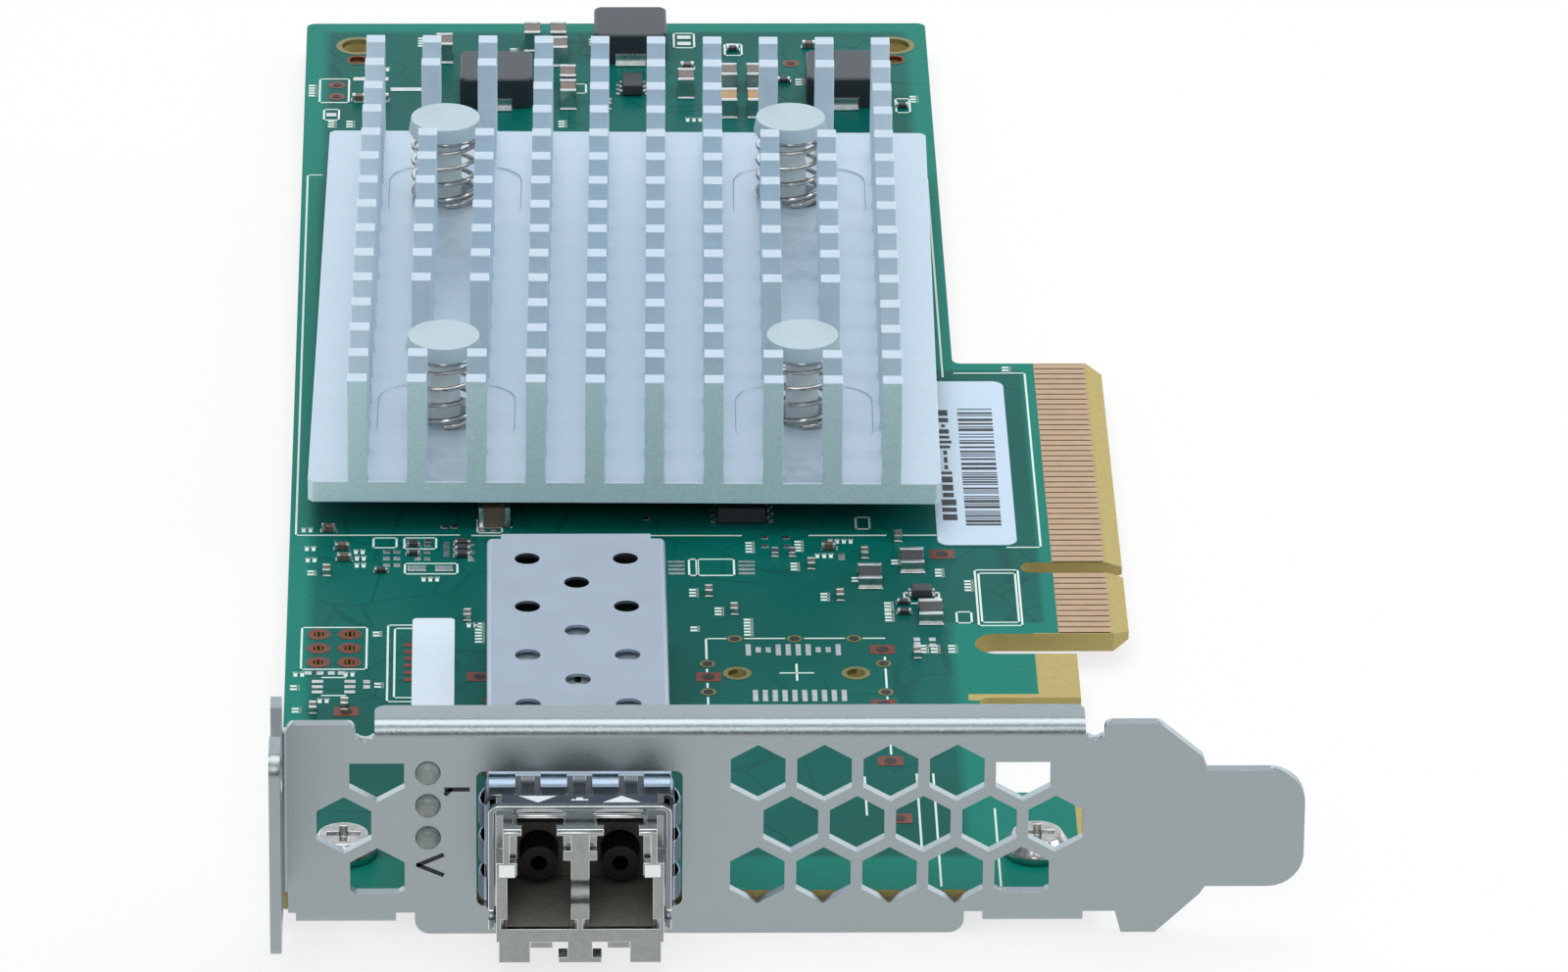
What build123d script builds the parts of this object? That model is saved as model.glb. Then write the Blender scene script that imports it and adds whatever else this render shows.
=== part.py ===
"""Low-profile fibre channel adapter card with one optical port, as its separate pieces.

X runs across the card to the tip of its contact tab, Y runs back from the bracket, and Z runs up
from the component side of the board. The origin lies in the plane of the board's component side,
at the tip of the tab, on the centre line of the key notch. Sizes are in millimetres.
"""

import os
from math import cos, hypot, radians, sin, sqrt

from build123d import *

os.makedirs("parts", exist_ok=True)

# Board
board_length = 167.65
board_thickness = 1.57
card_height = 67.7
main_width = 55.2
board_gap = 0.32
tab_rear = 39.15
tab_front = -12.15
tab_corner = 1.3
tip_bevel = 1.3
tip_bevel_rise = 0.45
key_width = 1.9
key_depth = 8.3
front_slot = 3.6
lug_length = 7.85
lug_margin = 4.6
ear_length = 16.4
board_corner = 0.8
header_hole = 0.5
post_hole = 0.8
tooling_hole = 1.5
tooling_side_hole = 0.8
tooling_side_pitch = 3.1
tooling_inset = 5.0
tooling_left_inset = 4.6
tooling_right_inset = 3.0
header_inset = 3.85
header_from_bracket = 42.0
header_pitch_x = 2.5
header_pitch_y = 2.52
spare_cage_pitch = 17.5
spare_post_pitch = 9.5
spare_post_y = -19.2

# Contact fingers
finger_pitch = 1.0
first_finger_gap = 0.55  # from the key's edge to the first finger's middle
finger_width = 0.82
finger_length = 4.3
finger_tip_gap = 1.4
finger_plating = 0.04
fingers_behind_key = 38
fingers_before_key = 11

# Bracket
sheet = 0.86
bend = 0.3
bracket_face = 57.74
bracket_length = 79.2
bracket_top = 14.9
bracket_bottom = -3.1
flange_depth = 3.35
tab_reach = 11.43
tab_low = 0.6
tab_high = 17.5
tab_slot_width = 4.9
tab_slot_depth = 6.2
tab_slot_from_face = 4.65
tab_corner_radius = 1.5
tongue_low = 0.85
tongue_high = 10.85
tongue_corner = 2.8
slope_from_root = 6.4  # where the lower edge drops, left of the tongue's root
slope_run = 0.5
tongue_from_screw = 12.6
shoulder_run = 3.75
shoulder_rise = 0.65
neck = 0.4
plate_corner = 0.6
foot_corner = 1.2
relief = 1.45
flange_corner = 0.9
vent_flats = 4.2
vent_pitch = 5.08
vent_row = vent_pitch * sqrt(3) / 2
vent_middle_height = 6.29
vent_from_cage = 13.66
vent_from_screw = 0.15
vent_flat_high = 0.9
vent_flat_low = 1.5
fold_tab_width = 7.7
fold_tab_reach = 11.0
left_screw_inset = 5.0
right_screw_share = 0.7456
left_fold_offset = 0.25
right_fold_offset = -0.6
board_to_tab = 0.35
flange_from_cage = 15.65
flange_from_lug = 1.4
screw_back = 7.6

# Bracket screws
screw_radius = 1.4
screw_clearance = 0.2
screw_thread_gap = 0.03
screw_head_radius = 2.65
screw_head_height = 1.7
screw_recess = 0.95
screw_crown_radius = 1.9
screw_rim = 0.6
screw_cross_length = 2.6
screw_cross_width = 0.6

# Cage and collar
cage_inset = 23.2
cage_width = 14.22
cage_top = 9.8
cage_sheet = 0.25
cage_corner = 0.5
cage_floor = 0.1
cage_proud = 1.9
cage_rear = -13.8
cage_shoulder = 1.15
cage_shoulder_length = 0.9
cage_hole = 1.0
cage_hole_pitch = 8.6
cage_hole_offset = 3.9
cage_first_hole = -18.3
cage_pin_width = 0.7
cage_pin_length = 2.4
cage_pin_clearance = 0.1
cage_pin_shares = (0.22, 0.5, 0.78)  # of the cage's length
cage_pin_root = 0.5
cage_shoulder_drop = 1.6
cage_hole_rows = 5
cage_hole_cut = 0.6
collar_sheet = 0.15
collar_bow = 0.5
collar_roll = 0.2
collar_board_gap = 0.1
collar_side_pitch = 3.1
collar_spring_width = 1.95
collar_spring_pitch = 3.95
collar_tongue_width = 0.95
opening_clearance = 0.79
opening_headroom = 1.1
opening_corner = 0.6

# Host connector
host_length = 9.0
host_rear_gap = 0.3
host_side_gap = 0.4
host_card_gap = 0.1
host_corner = 0.5
host_width = 12.6
host_height = 7.6
host_slot_depth = 5.2

# Transceiver
module_width = 13.4
module_floor = 0.05
module_height = 8.5
module_wall = 0.8
module_rear = -24.0
nose_width = 12.8
nose_reach = 8.0
nose_bottom = 0.33
nose_top = 9.9
port_pitch = 6.25
port_width = 4.85
port_floor = 1.45
port_body_top = 6.05
port_step_top = 7.1
port_shoulder_low = 7.33
port_shoulder_top = 8.17
port_latch_top = 9.45
port_lead_in_top = 2.28
port_lead_in_depth = 0.6
port_rib = 0.44
port_lead_in_width = 5.83
divider_shoulder = 2.56
wall_step = 0.74
wall_notch = 0.57
port_front_depth = 0.8
port_lug_depth = 1.0
port_slot_width = 2.67
port_slot_rear_width = 3.9
nose_notch_width = 0.54
nose_notch_depth = 2.5
port_back = 56.0
port_lip = 0.5
port_liner = 0.25
port_liner_back = 0.8
liner_gap = 0.02
top_plate_reach = 4.0
foot_height = 1.75
foot_depth = 1.5
foot_width = 2.4
foot_inset = 0.2
foot_web = 0.58
foot_web_reach = 1.7
foot_web_setback = 0.15
centre_stem_width = 1.9
centre_foot_width = 3.3
centre_foot_height = 0.45
cover_sheet = 0.2
barrel_radius = 2.3
barrel_nose = 1.45
barrel_nose_length = 3.4
barrel_gap = 0.05
barrel_bore_length = 6.0
ferrule_radius = 0.63
ferrule_height = 3.85
module_board_thickness = 1.0
module_board_width = 10.4
module_board_engagement = 4.2
module_board_setback = 7.0
module_board_chamfer = 0.25
card_lift = 0.2  # of the transceiver's board above the ferrules' axes
driver_size = (5.0, 5.0, 0.9)
driver_setback = 9.0
mark_strip_depth = 1.6
mark_strip = 0.1

# Bail latch
bail_sheet = 0.45
bail_bend = 0.45  # inside radius
bail_gap = 0.15
bail_arm = 0.95
bail_pivot_back = 5.5
bail_pivot_height = 1.2
bail_rise = 0.42
bail_eye = 0.95
bail_pin = 0.5
bail_pin_clearance = 0.05
bail_pin_length = 0.4

# Light guides
guide_inset = 11.6
guide_heights = (10.74, 7.94, 5.19)
guide_radius = 0.9
guide_clearance = 0.08
guide_proud = 0.25
guide_first_drop = 8.0
guide_spacing = 2.5
guide_bend = 1.4
guide_gap = 0.1
guide_web = 0.9
led_size = 1.6
led_height = 0.8

# Controller, pad and heatsink
controller_size = 25.0
controller_height = 1.9
controller_lid = 21.0
controller_lid_share = 0.45  # of the height
controller_chamfer = 0.3
pad_thickness = 0.45
pad_size = 22.0
sink_width = 51.65
sink_length = 70.5
sink_inset = 27.3
sink_y = 42.2
sink_pedestal = 0.15
base_thickness = 1.87
fin_height = 9.05
fin_width = 1.6
fin_depth = 1.5
fin_columns = 10
fin_rows = 15
fin_column_pitch = 4.84
fin_clearance = 4.6
sink_corner = 0.4
pocket_width = 11.3
pocket_depth = 0.12
pocket_corner = 3.0

# Paper labels
label_paper = 0.12
code_label_width = 6.5
code_label_length = 31.4
code_label_gap = 2.7
code_label_y = 19.7
blank_label_width = 3.4
blank_label_length = 18.2
blank_label_inset = 11.8
blank_label_y = -18.4

# Power inductors
inductor_size = 6.4
inductor_height = 2.8
inductor_corner = 0.45
inductor_top_chamfer = 0.15
inductor_foot_depth = 0.5
inductor_foot_inset = 0.1
inductor_standoff = 0.35

# Small parts: length, width and height of each kind
ceramic_size = (2.6, 1.45, 1.8)
tantalum_size = (2.8, 1.5, 1.7)
small_capacitor_size = (1.2, 0.65, 0.6)
resistor_size = (1.1, 0.6, 0.4)
resistor_pack_size = (1.3, 0.8, 0.45)
fuse_size = (2.9, 1.95, 0.9)
coupling_size = (1.1, 0.6, 0.5)
regulator_size = (1.7, 2.9, 1.1)
transistor_size = (1.6, 1.3, 0.9)
memory_size = (3.9, 5.0, 1.5)
chip_chamfer = 0.12
chip_standoff = 0.1
lead_run = 0.7
lead_height = 0.3
lead_reach = 0.5

# Push pins
push_spacing_x = 29.5
push_spacing_y = 44.2
push_head_radius = 3.15
push_head_height = 1.2
push_shaft_radius = 1.35
push_hole_clearance = 0.15
push_head_top = 11.6
push_barb = 0.45
push_barb_height = 1.5
push_slit = 0.6
spring_wire = 0.42
spring_radius = 2.15
spring_turns = 4.5
spring_steps = 8


def save(piece, name):
    """Label a finished piece and write it to its own file."""
    piece.part.label = name
    export_step(piece.part, f"parts/{name}.step")


# Board edges and the planes that the other pieces share
board_left = -card_height
main_right = board_left + main_width
board_front = -bracket_face + sheet + board_gap
board_rear = board_front + board_length
board_bottom = -board_thickness
lug_rear = tab_front - front_slot
lug_front = lug_rear - lug_length
tab_outer = board_left - board_to_tab
left_screw = board_left + left_screw_inset
right_screw = tab_outer + right_screw_share * bracket_length
lug_right = right_screw + lug_margin
ear_rear = board_front + ear_length
screw_y = -bracket_face + screw_back
bottom_anchor = (Align.CENTER, Align.CENTER, Align.MIN)
top_anchor = (Align.CENTER, Align.CENTER, Align.MAX)

cage_x = board_left + cage_inset
guide_x = board_left + guide_inset
sink_x = board_left + sink_inset
base_bottom = controller_height + pad_thickness + sink_pedestal
base_top = base_bottom + base_thickness
fin_row_pitch = (sink_length - fin_depth) / (fin_rows - 1)
push_points = [
    (sink_x + i * push_spacing_x / 2, sink_y + j * push_spacing_y / 2)
    for i in (-1, 1)
    for j in (-1, 1)
]
tooling_holes = [
    (board_left + tooling_left_inset, board_rear - tooling_inset),
    (main_right - tooling_right_inset, board_rear - tooling_inset),
]

# Cage planes
cage_mouth = -bracket_face - cage_proud
cage_length = cage_rear - cage_mouth
cage_inside = cage_width - 2 * cage_sheet
cage_pin_rows = [cage_mouth + f * cage_length for f in cage_pin_shares]
spare_cage_x = cage_x + spare_cage_pitch


# Circuit board, with its tab, notch, slot, lug, ear and holes
with BuildPart() as circuit_board:
    with BuildSketch(Plane.XY.offset(board_bottom)) as board_outline:
        with BuildLine():
            Polyline(
                (board_left, board_front),
                (lug_right, board_front),
                (lug_right, ear_rear),
                (main_right, ear_rear),
                (main_right, lug_front),
                (lug_right, lug_front),
                (lug_right, lug_rear),
                (main_right + front_slot / 2, lug_rear),
                (main_right + front_slot / 2, tab_front),
                (-tab_corner, tab_front),
                (0, tab_front + tab_corner),
                (0, tab_rear - tab_corner),
                (-tab_corner, tab_rear),
                (main_right, tab_rear),
                (main_right, board_rear),
                (board_left, board_rear),
                close=True,
            )
        make_face()
        outline_corners = board_outline.vertices().filter_by(
            lambda v: v.X < main_right + board_corner and v.Y not in (lug_rear, tab_front)
        )
        fillet(outline_corners, board_corner)
        with Locations((main_right + front_slot / 2, (tab_front + lug_rear) / 2)):
            Circle(front_slot / 2, mode=Mode.SUBTRACT)
        with Locations((key_width / 2 - key_depth, 0)):
            Circle(key_width / 2, mode=Mode.SUBTRACT)
            Rectangle(
                key_depth, key_width, align=(Align.MIN, Align.CENTER), mode=Mode.SUBTRACT
            )
    extrude(amount=board_thickness)
    tip_edges = circuit_board.edges().filter_by(Axis.Y).group_by(Axis.X)[-1]
    chamfer(tip_edges, tip_bevel_rise, tip_bevel)

    with Locations(*[(x, y, 0) for x, y in push_points]):
        Hole(push_shaft_radius + push_hole_clearance)
    with Locations((left_screw, screw_y, 0), (right_screw, screw_y, 0)):
        Hole(screw_radius + screw_clearance)
    with Locations(*[(x, y, 0) for x, y in tooling_holes]):
        Hole(tooling_hole)
    # Small plated holes, with few sides: beside the tooling holes, in the unused header and for the
    # two posts of the spare cage, and then the press-fit slots of the fitted cage
    pin_slot = cage_pin_width + 2 * cage_pin_clearance
    with BuildSketch():
        with Locations(*[(x, y - tooling_side_pitch) for x, y in tooling_holes]):
            RegularPolygon(tooling_side_hole, 8)
        with Locations((board_left + header_inset, board_front + header_from_bracket)):
            with GridLocations(header_pitch_x, header_pitch_y, 2, 3):
                RegularPolygon(header_hole, 8)
        with Locations((spare_cage_x, spare_post_y)):
            with GridLocations(spare_post_pitch, 1, 2, 1):
                RegularPolygon(post_hole, 8)
        for pin_y in cage_pin_rows:
            with Locations((cage_x, pin_y)):
                with GridLocations(cage_width - cage_sheet, 1, 2, 1):
                    Rectangle(pin_slot, pin_slot)
    extrude(amount=-board_thickness, mode=Mode.SUBTRACT)
save(circuit_board, "circuit_board")

# Contact fingers, plated on both faces of the tab
first_finger = key_width / 2 + first_finger_gap
finger_rows = [first_finger + finger_pitch * i for i in range(fingers_behind_key)]
finger_rows += [-first_finger - finger_pitch * i for i in range(fingers_before_key)]
with BuildPart() as contact_fingers:
    for face, plating in ((0, finger_plating), (board_bottom, -finger_plating)):
        with BuildSketch(Plane.XY.offset(face)):
            with Locations(*[(-finger_tip_gap, y) for y in finger_rows]):
                Rectangle(finger_length, finger_width, align=(Align.MAX, Align.CENTER))
        extrude(amount=plating)
save(contact_fingers, "contact_fingers")

# Bracket: one folded sheet
plate_top = bracket_top - sheet - bend
fold_bottom = board_bottom - sheet
plate_fold = fold_bottom + sheet + bend
plate_left = tab_outer + sheet + bend
tongue_tip = tab_outer + bracket_length
tongue_root = right_screw + tongue_from_screw
slope_foot = tongue_root - slope_from_root
flange_left = cage_x - flange_from_cage
flange_right = lug_right - flange_from_lug
fold_centres = (left_screw + left_fold_offset, right_screw + right_fold_offset)


def fold(first_leg, second_leg):
    """Section of a right-angle fold: a leg down from the corner and a leg to the right of it."""
    with BuildSketch() as section:
        with BuildLine():
            Polyline(
                (0, 0),
                (second_leg, 0),
                (second_leg, -sheet),
                (sheet, -sheet),
                (sheet, -first_leg),
                (0, -first_leg),
                close=True,
            )
        make_face()
        fillet(section.vertices().sort_by_distance((0, 0))[0], sheet + bend)
        inner = section.vertices().sort_by_distance((sheet, -sheet))[0]
        fillet(inner, bend)
    return section.sketch


with BuildPart() as bracket:
    with BuildSketch(Plane.XZ.offset(bracket_face - sheet)) as plate:
        with BuildLine():
            Polyline(
                (plate_left, plate_fold),
                (fold_centres[0] + fold_tab_width / 2, plate_fold),
                (fold_centres[0] + fold_tab_width / 2 + relief, plate_fold),
                (fold_centres[0] + fold_tab_width / 2 + relief, bracket_bottom),
                (fold_centres[1] - fold_tab_width / 2 - relief, bracket_bottom),
                (fold_centres[1] - fold_tab_width / 2 - relief, plate_fold),
                (fold_centres[1] + fold_tab_width / 2, plate_fold),
                (slope_foot - slope_run, plate_fold),
                (slope_foot, bracket_bottom),
                (tongue_root - shoulder_run, bracket_bottom),
                (tongue_root - neck, tongue_low - shoulder_rise),
                (tongue_root, tongue_low),
                (tongue_tip, tongue_low),
                (tongue_tip, tongue_high),
                (tongue_root, tongue_high),
                (tongue_root - neck, tongue_high + 1.8 * shoulder_rise),
                (tongue_root - shoulder_run, bracket_top),
                (flange_right + relief, bracket_top),
                (flange_right + relief, plate_top),
                (flange_left - relief, plate_top),
                (flange_left - relief, bracket_top),
                (plate_left, bracket_top),
                close=True,
            )
        make_face()
        fillet(plate.vertices().group_by(Axis.X)[-1], tongue_corner)
        round_corners = plate.vertices().filter_by(
            lambda v: v.Y < bracket_bottom + 0.1 and v.X < right_screw
        )
        fillet(round_corners, foot_corner)
        fillet(plate.vertices().group_by(Axis.Y)[-1], plate_corner)
        # Round relief at each end of the flange's fold
        for relief_x in (flange_left - relief / 2, flange_right + relief / 2):
            with Locations((relief_x, plate_top + relief / 3)):
                Circle(relief / 2, mode=Mode.SUBTRACT)
        # Mouth for the cage and its collar
        mouth_low = cage_floor - opening_clearance
        mouth_high = cage_top + opening_headroom
        with Locations((cage_x, (mouth_low + mouth_high) / 2)):
            RectangleRounded(
                cage_width + 2 * opening_clearance,
                mouth_high - mouth_low,
                opening_corner,
                mode=Mode.SUBTRACT,
            )
        for guide_height in guide_heights:
            with Locations((guide_x, guide_height)):
                Circle(guide_radius + guide_clearance, mode=Mode.SUBTRACT)
    extrude(amount=sheet)

    # Hexagon vents, with the corner ones cut flat where they meet the folds
    vent_radius = vent_flats / sqrt(3)
    high_row = vent_middle_height + vent_row
    low_row = vent_middle_height - vent_row
    vent_first = cage_x + vent_from_cage
    vent_lone = left_screw + vent_from_screw
    with BuildSketch(Plane.XZ.offset(bracket_face - sheet)):
        for row_height, start, count in (
            (high_row, vent_first, 5),
            (vent_middle_height, vent_first + vent_pitch / 2, 5),
            (low_row, vent_first, 5),
            (vent_middle_height, vent_lone, 1),
            (high_row, vent_lone + vent_pitch / 2, 1),
            (low_row, vent_lone + vent_pitch / 2, 1),
        ):
            for i in range(count):
                with Locations((start + i * vent_pitch, row_height)):
                    RegularPolygon(vent_radius, 6, rotation=30)
        for cut_x in (vent_first + 4 * vent_pitch, vent_lone + vent_pitch / 2):
            with Locations((cut_x, high_row + vent_flat_high)):
                Rectangle(
                    vent_pitch, vent_radius, align=(Align.CENTER, Align.MIN), mode=Mode.SUBTRACT
                )
            with Locations((cut_x, low_row - vent_flat_low)):
                Rectangle(
                    vent_pitch, vent_radius, align=(Align.CENTER, Align.MAX), mode=Mode.SUBTRACT
                )
    extrude(amount=sheet, mode=Mode.SUBTRACT)

    # Long top flange, folded back over the board
    flange_plane = Plane((flange_left, -bracket_face, bracket_top), x_dir=(0, 1, 0), z_dir=(1, 0, 0))
    with BuildSketch(flange_plane):
        add(fold(sheet + 2 * bend, flange_depth))
    extrude(amount=flange_right - flange_left)
    flange_ends = bracket.edges().filter_by(Axis.Z).group_by(Axis.Y)[-1]
    fillet(flange_ends, flange_corner)

    # Two tabs folded back under the board, tapped for the screws
    for centre in fold_centres:
        fold_plane = Plane(
            (centre + fold_tab_width / 2, -bracket_face, fold_bottom),
            x_dir=(0, 1, 0),
            z_dir=(-1, 0, 0),
        )
        with BuildSketch(fold_plane):
            add(fold(sheet + 2 * bend, fold_tab_reach))
        extrude(amount=fold_tab_width)
    with Locations((left_screw, screw_y, board_bottom), (right_screw, screw_y, board_bottom)):
        Hole(screw_radius + screw_thread_gap, depth=sheet)

    # Mounting tab, folded forwards at the end, with the open screw slot
    tab_width = tab_high - tab_low
    with BuildSketch(Plane.YZ.offset(tab_outer)) as mounting_tab:
        with Locations((-bracket_face - bend, tab_low)):
            Rectangle(tab_reach - bend, tab_width, align=(Align.MAX, Align.MIN))
        fillet(mounting_tab.vertices().group_by(Axis.X)[0], tab_corner_radius)
        with Locations((-bracket_face - tab_slot_from_face, tab_high)):
            Rectangle(
                tab_slot_width,
                tab_slot_depth - tab_slot_width / 2,
                align=(Align.CENTER, Align.MAX),
                mode=Mode.SUBTRACT,
            )
        with Locations(
            (-bracket_face - tab_slot_from_face, tab_high - tab_slot_depth + tab_slot_width / 2)
        ):
            Circle(tab_slot_width / 2, mode=Mode.SUBTRACT)
    extrude(amount=sheet)
    with BuildSketch(Plane.XY.offset(tab_low)):
        with BuildLine():
            Line((tab_outer, -bracket_face - bend), (tab_outer + sheet, -bracket_face - bend))
            RadiusArc(
                (tab_outer + sheet, -bracket_face - bend),
                (plate_left, -bracket_face),
                bend,
            )
            Line((plate_left, -bracket_face), (plate_left, -bracket_face + sheet))
            RadiusArc(
                (plate_left, -bracket_face + sheet),
                (tab_outer, -bracket_face - bend),
                -(sheet + bend),
            )
        make_face()
    extrude(amount=bracket_top - plate_corner - tab_low)
save(bracket, "bracket")

# Pan-head screws through the board into the bracket's tabs
with BuildPart() as bracket_screws:
    with BuildSketch(Plane.XZ):
        with BuildLine():
            Polyline(
                (0, screw_head_height),
                (screw_crown_radius, screw_head_height),
                (screw_head_radius, screw_rim),
                (screw_head_radius, 0),
                (screw_radius, 0),
                (screw_radius, fold_bottom),
                (0, fold_bottom),
                close=True,
            )
        make_face()
    screw = revolve(axis=Axis.Z, mode=Mode.PRIVATE)
    with Locations((left_screw, screw_y, 0), (right_screw, screw_y, 0)):
        add(screw)
        with Locations((0, 0, screw_head_height)):
            for cross_x, cross_y in (
                (screw_cross_length, screw_cross_width),
                (screw_cross_width, screw_cross_length),
            ):
                Box(cross_x, cross_y, screw_recess, align=top_anchor, mode=Mode.SUBTRACT)
save(bracket_screws, "bracket_screws")

# Cage: a folded sheet box, open at the mouth and over the host connector
with BuildPart() as sfp_cage:
    with BuildSketch(Plane.XY.offset(cage_floor)):
        with Locations((cage_x, cage_mouth)):
            Rectangle(cage_width, cage_length, align=(Align.CENTER, Align.MIN))
    extrude(amount=cage_top - cage_floor)
    fillet(sfp_cage.edges().filter_by(Axis.Y), cage_corner)
    with BuildSketch(Plane.XY.offset(cage_floor + cage_sheet)):
        with Locations((cage_x, cage_mouth)):
            Rectangle(
                cage_inside, cage_length - cage_sheet, align=(Align.CENTER, Align.MIN)
            )
    extrude(amount=cage_top - cage_floor - 2 * cage_sheet, mode=Mode.SUBTRACT)
    # The floor is open below the host connector
    with BuildSketch(Plane.XY):
        with Locations((cage_x, cage_rear - cage_sheet)):
            Rectangle(cage_inside, host_length + 1.2, align=(Align.CENTER, Align.MAX))
    extrude(amount=cage_floor + cage_sheet, mode=Mode.SUBTRACT)
    # The corners of the roof step in at the rear
    with BuildSketch(Plane.XY.offset(cage_top - cage_shoulder_drop)):
        for side in (-1, 1):
            with Locations((cage_x + side * (cage_width - cage_shoulder) / 2, cage_rear)):
                Rectangle(
                    cage_shoulder, cage_shoulder_length, align=(Align.CENTER, Align.MAX)
                )
    extrude(amount=cage_shoulder_drop, mode=Mode.SUBTRACT)
    # Staggered vent holes in the roof
    with BuildSketch(Plane.XY.offset(cage_top - cage_hole_cut)):
        for i in range(cage_hole_rows):
            hole_y = cage_first_hole - i * cage_hole_pitch
            for side in (-1, 1):
                with Locations((cage_x + side * cage_hole_offset, hole_y)):
                    Circle(cage_hole)
        for i in range(cage_hole_rows - 1):
            with Locations((cage_x, cage_first_hole - (i + 0.5) * cage_hole_pitch)):
                Circle(cage_hole)
    extrude(amount=cage_hole_cut, mode=Mode.SUBTRACT)
    # Press-fit pins through the board
    for pin_y in cage_pin_rows:
        for side in (-1, 1):
            pin_x = cage_x + side * (cage_width - cage_sheet) / 2
            with Locations((pin_x, pin_y, cage_floor + cage_pin_root)):
                Box(
                    cage_sheet,
                    cage_pin_width,
                    cage_pin_length + cage_pin_root,
                    align=top_anchor,
                )
save(sfp_cage, "sfp_cage")


def bowed_spring(bow):
    """Section of one bowed spring of the collar, in four straight runs from front to tail."""
    rise = [(-collar_roll, 0), (collar_depth * 0.12, bow * 0.75), (collar_depth * 0.38, bow)]
    rise += [(collar_depth * 0.68, bow * 0.75), (collar_depth, 0)]
    with BuildSketch() as section:
        with BuildLine():
            Polyline(*rise, *[(y, z + collar_sheet) for y, z in reversed(rise)], close=True)
        make_face()
    return section.sketch


# Collar: a thin band round the cage's mouth, with bowed springs on all four sides
collar_depth = board_front - cage_mouth - collar_board_gap
cage_half = cage_width / 2
cage_middle = (cage_floor + cage_top) / 2
cage_height = cage_top - cage_floor
with BuildPart() as cage_spring_collar:
    mouth_plane = Plane.XZ.offset(-cage_mouth)
    with BuildSketch(mouth_plane):
        with Locations((cage_x, cage_middle)):
            RectangleRounded(
                cage_width + 2 * collar_sheet,
                cage_height + 2 * collar_sheet,
                cage_corner + collar_sheet,
            )
            RectangleRounded(
                cage_inside, cage_height - 2 * cage_sheet, 0.1, mode=Mode.SUBTRACT
            )
    extrude(amount=collar_sheet)
    with BuildSketch(mouth_plane):
        with Locations((cage_x, cage_middle)):
            RectangleRounded(
                cage_width + 2 * collar_sheet,
                cage_height + 2 * collar_sheet,
                cage_corner + collar_sheet,
            )
            RectangleRounded(cage_width, cage_height, cage_corner, mode=Mode.SUBTRACT)
    extrude(amount=-collar_depth)
    spring_sets = [
        (i * collar_spring_pitch, collar_spring_width, collar_bow) for i in (-1.5, -0.5, 0.5, 1.5)
    ]
    spring_sets += [
        (i * collar_spring_pitch, collar_tongue_width, collar_bow / 2) for i in (-1, 0, 1)
    ]
    for offset, width, bow in spring_sets:
        levels = ((cage_top, 1), (cage_floor, -1)) if bow == collar_bow else ((cage_top, 1),)
        for level, facing in levels:
            spring_plane = Plane(
                (cage_x + offset - facing * width / 2, cage_mouth, level),
                x_dir=(0, 1, 0),
                z_dir=(facing, 0, 0),
            )
            with BuildSketch(spring_plane):
                add(bowed_spring(bow))
            extrude(amount=width)
    for i in (-1, 0, 1):
        for side in (-1, 1):
            spring_start = cage_middle + i * collar_side_pitch + side * collar_spring_width / 2
            spring_plane = Plane(
                (cage_x + side * cage_half, cage_mouth, spring_start),
                x_dir=(0, 1, 0),
                z_dir=(0, 0, -side),
            )
            with BuildSketch(spring_plane):
                add(bowed_spring(collar_bow))
            extrude(amount=collar_spring_width)
save(cage_spring_collar, "cage_spring_collar")

# Host connector on the board, which takes the transceiver's edge
card_plane = ferrule_height + card_lift
host_front = cage_rear - cage_sheet - host_rear_gap - host_length
with BuildPart() as host_connector:
    with Locations((cage_x, host_front + host_length / 2, 0)):
        Box(host_width, host_length, host_height, align=bottom_anchor)
    with Locations((cage_x, host_front, card_plane)):
        Box(
            module_board_width + host_side_gap,
            host_slot_depth,
            module_board_thickness + host_card_gap,
            align=(Align.CENTER, Align.MIN, Align.CENTER),
            mode=Mode.SUBTRACT,
        )
    fillet(host_connector.edges().filter_by(Axis.Z).group_by(Axis.Y)[-1], host_corner)
save(host_connector, "host_connector")

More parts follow.
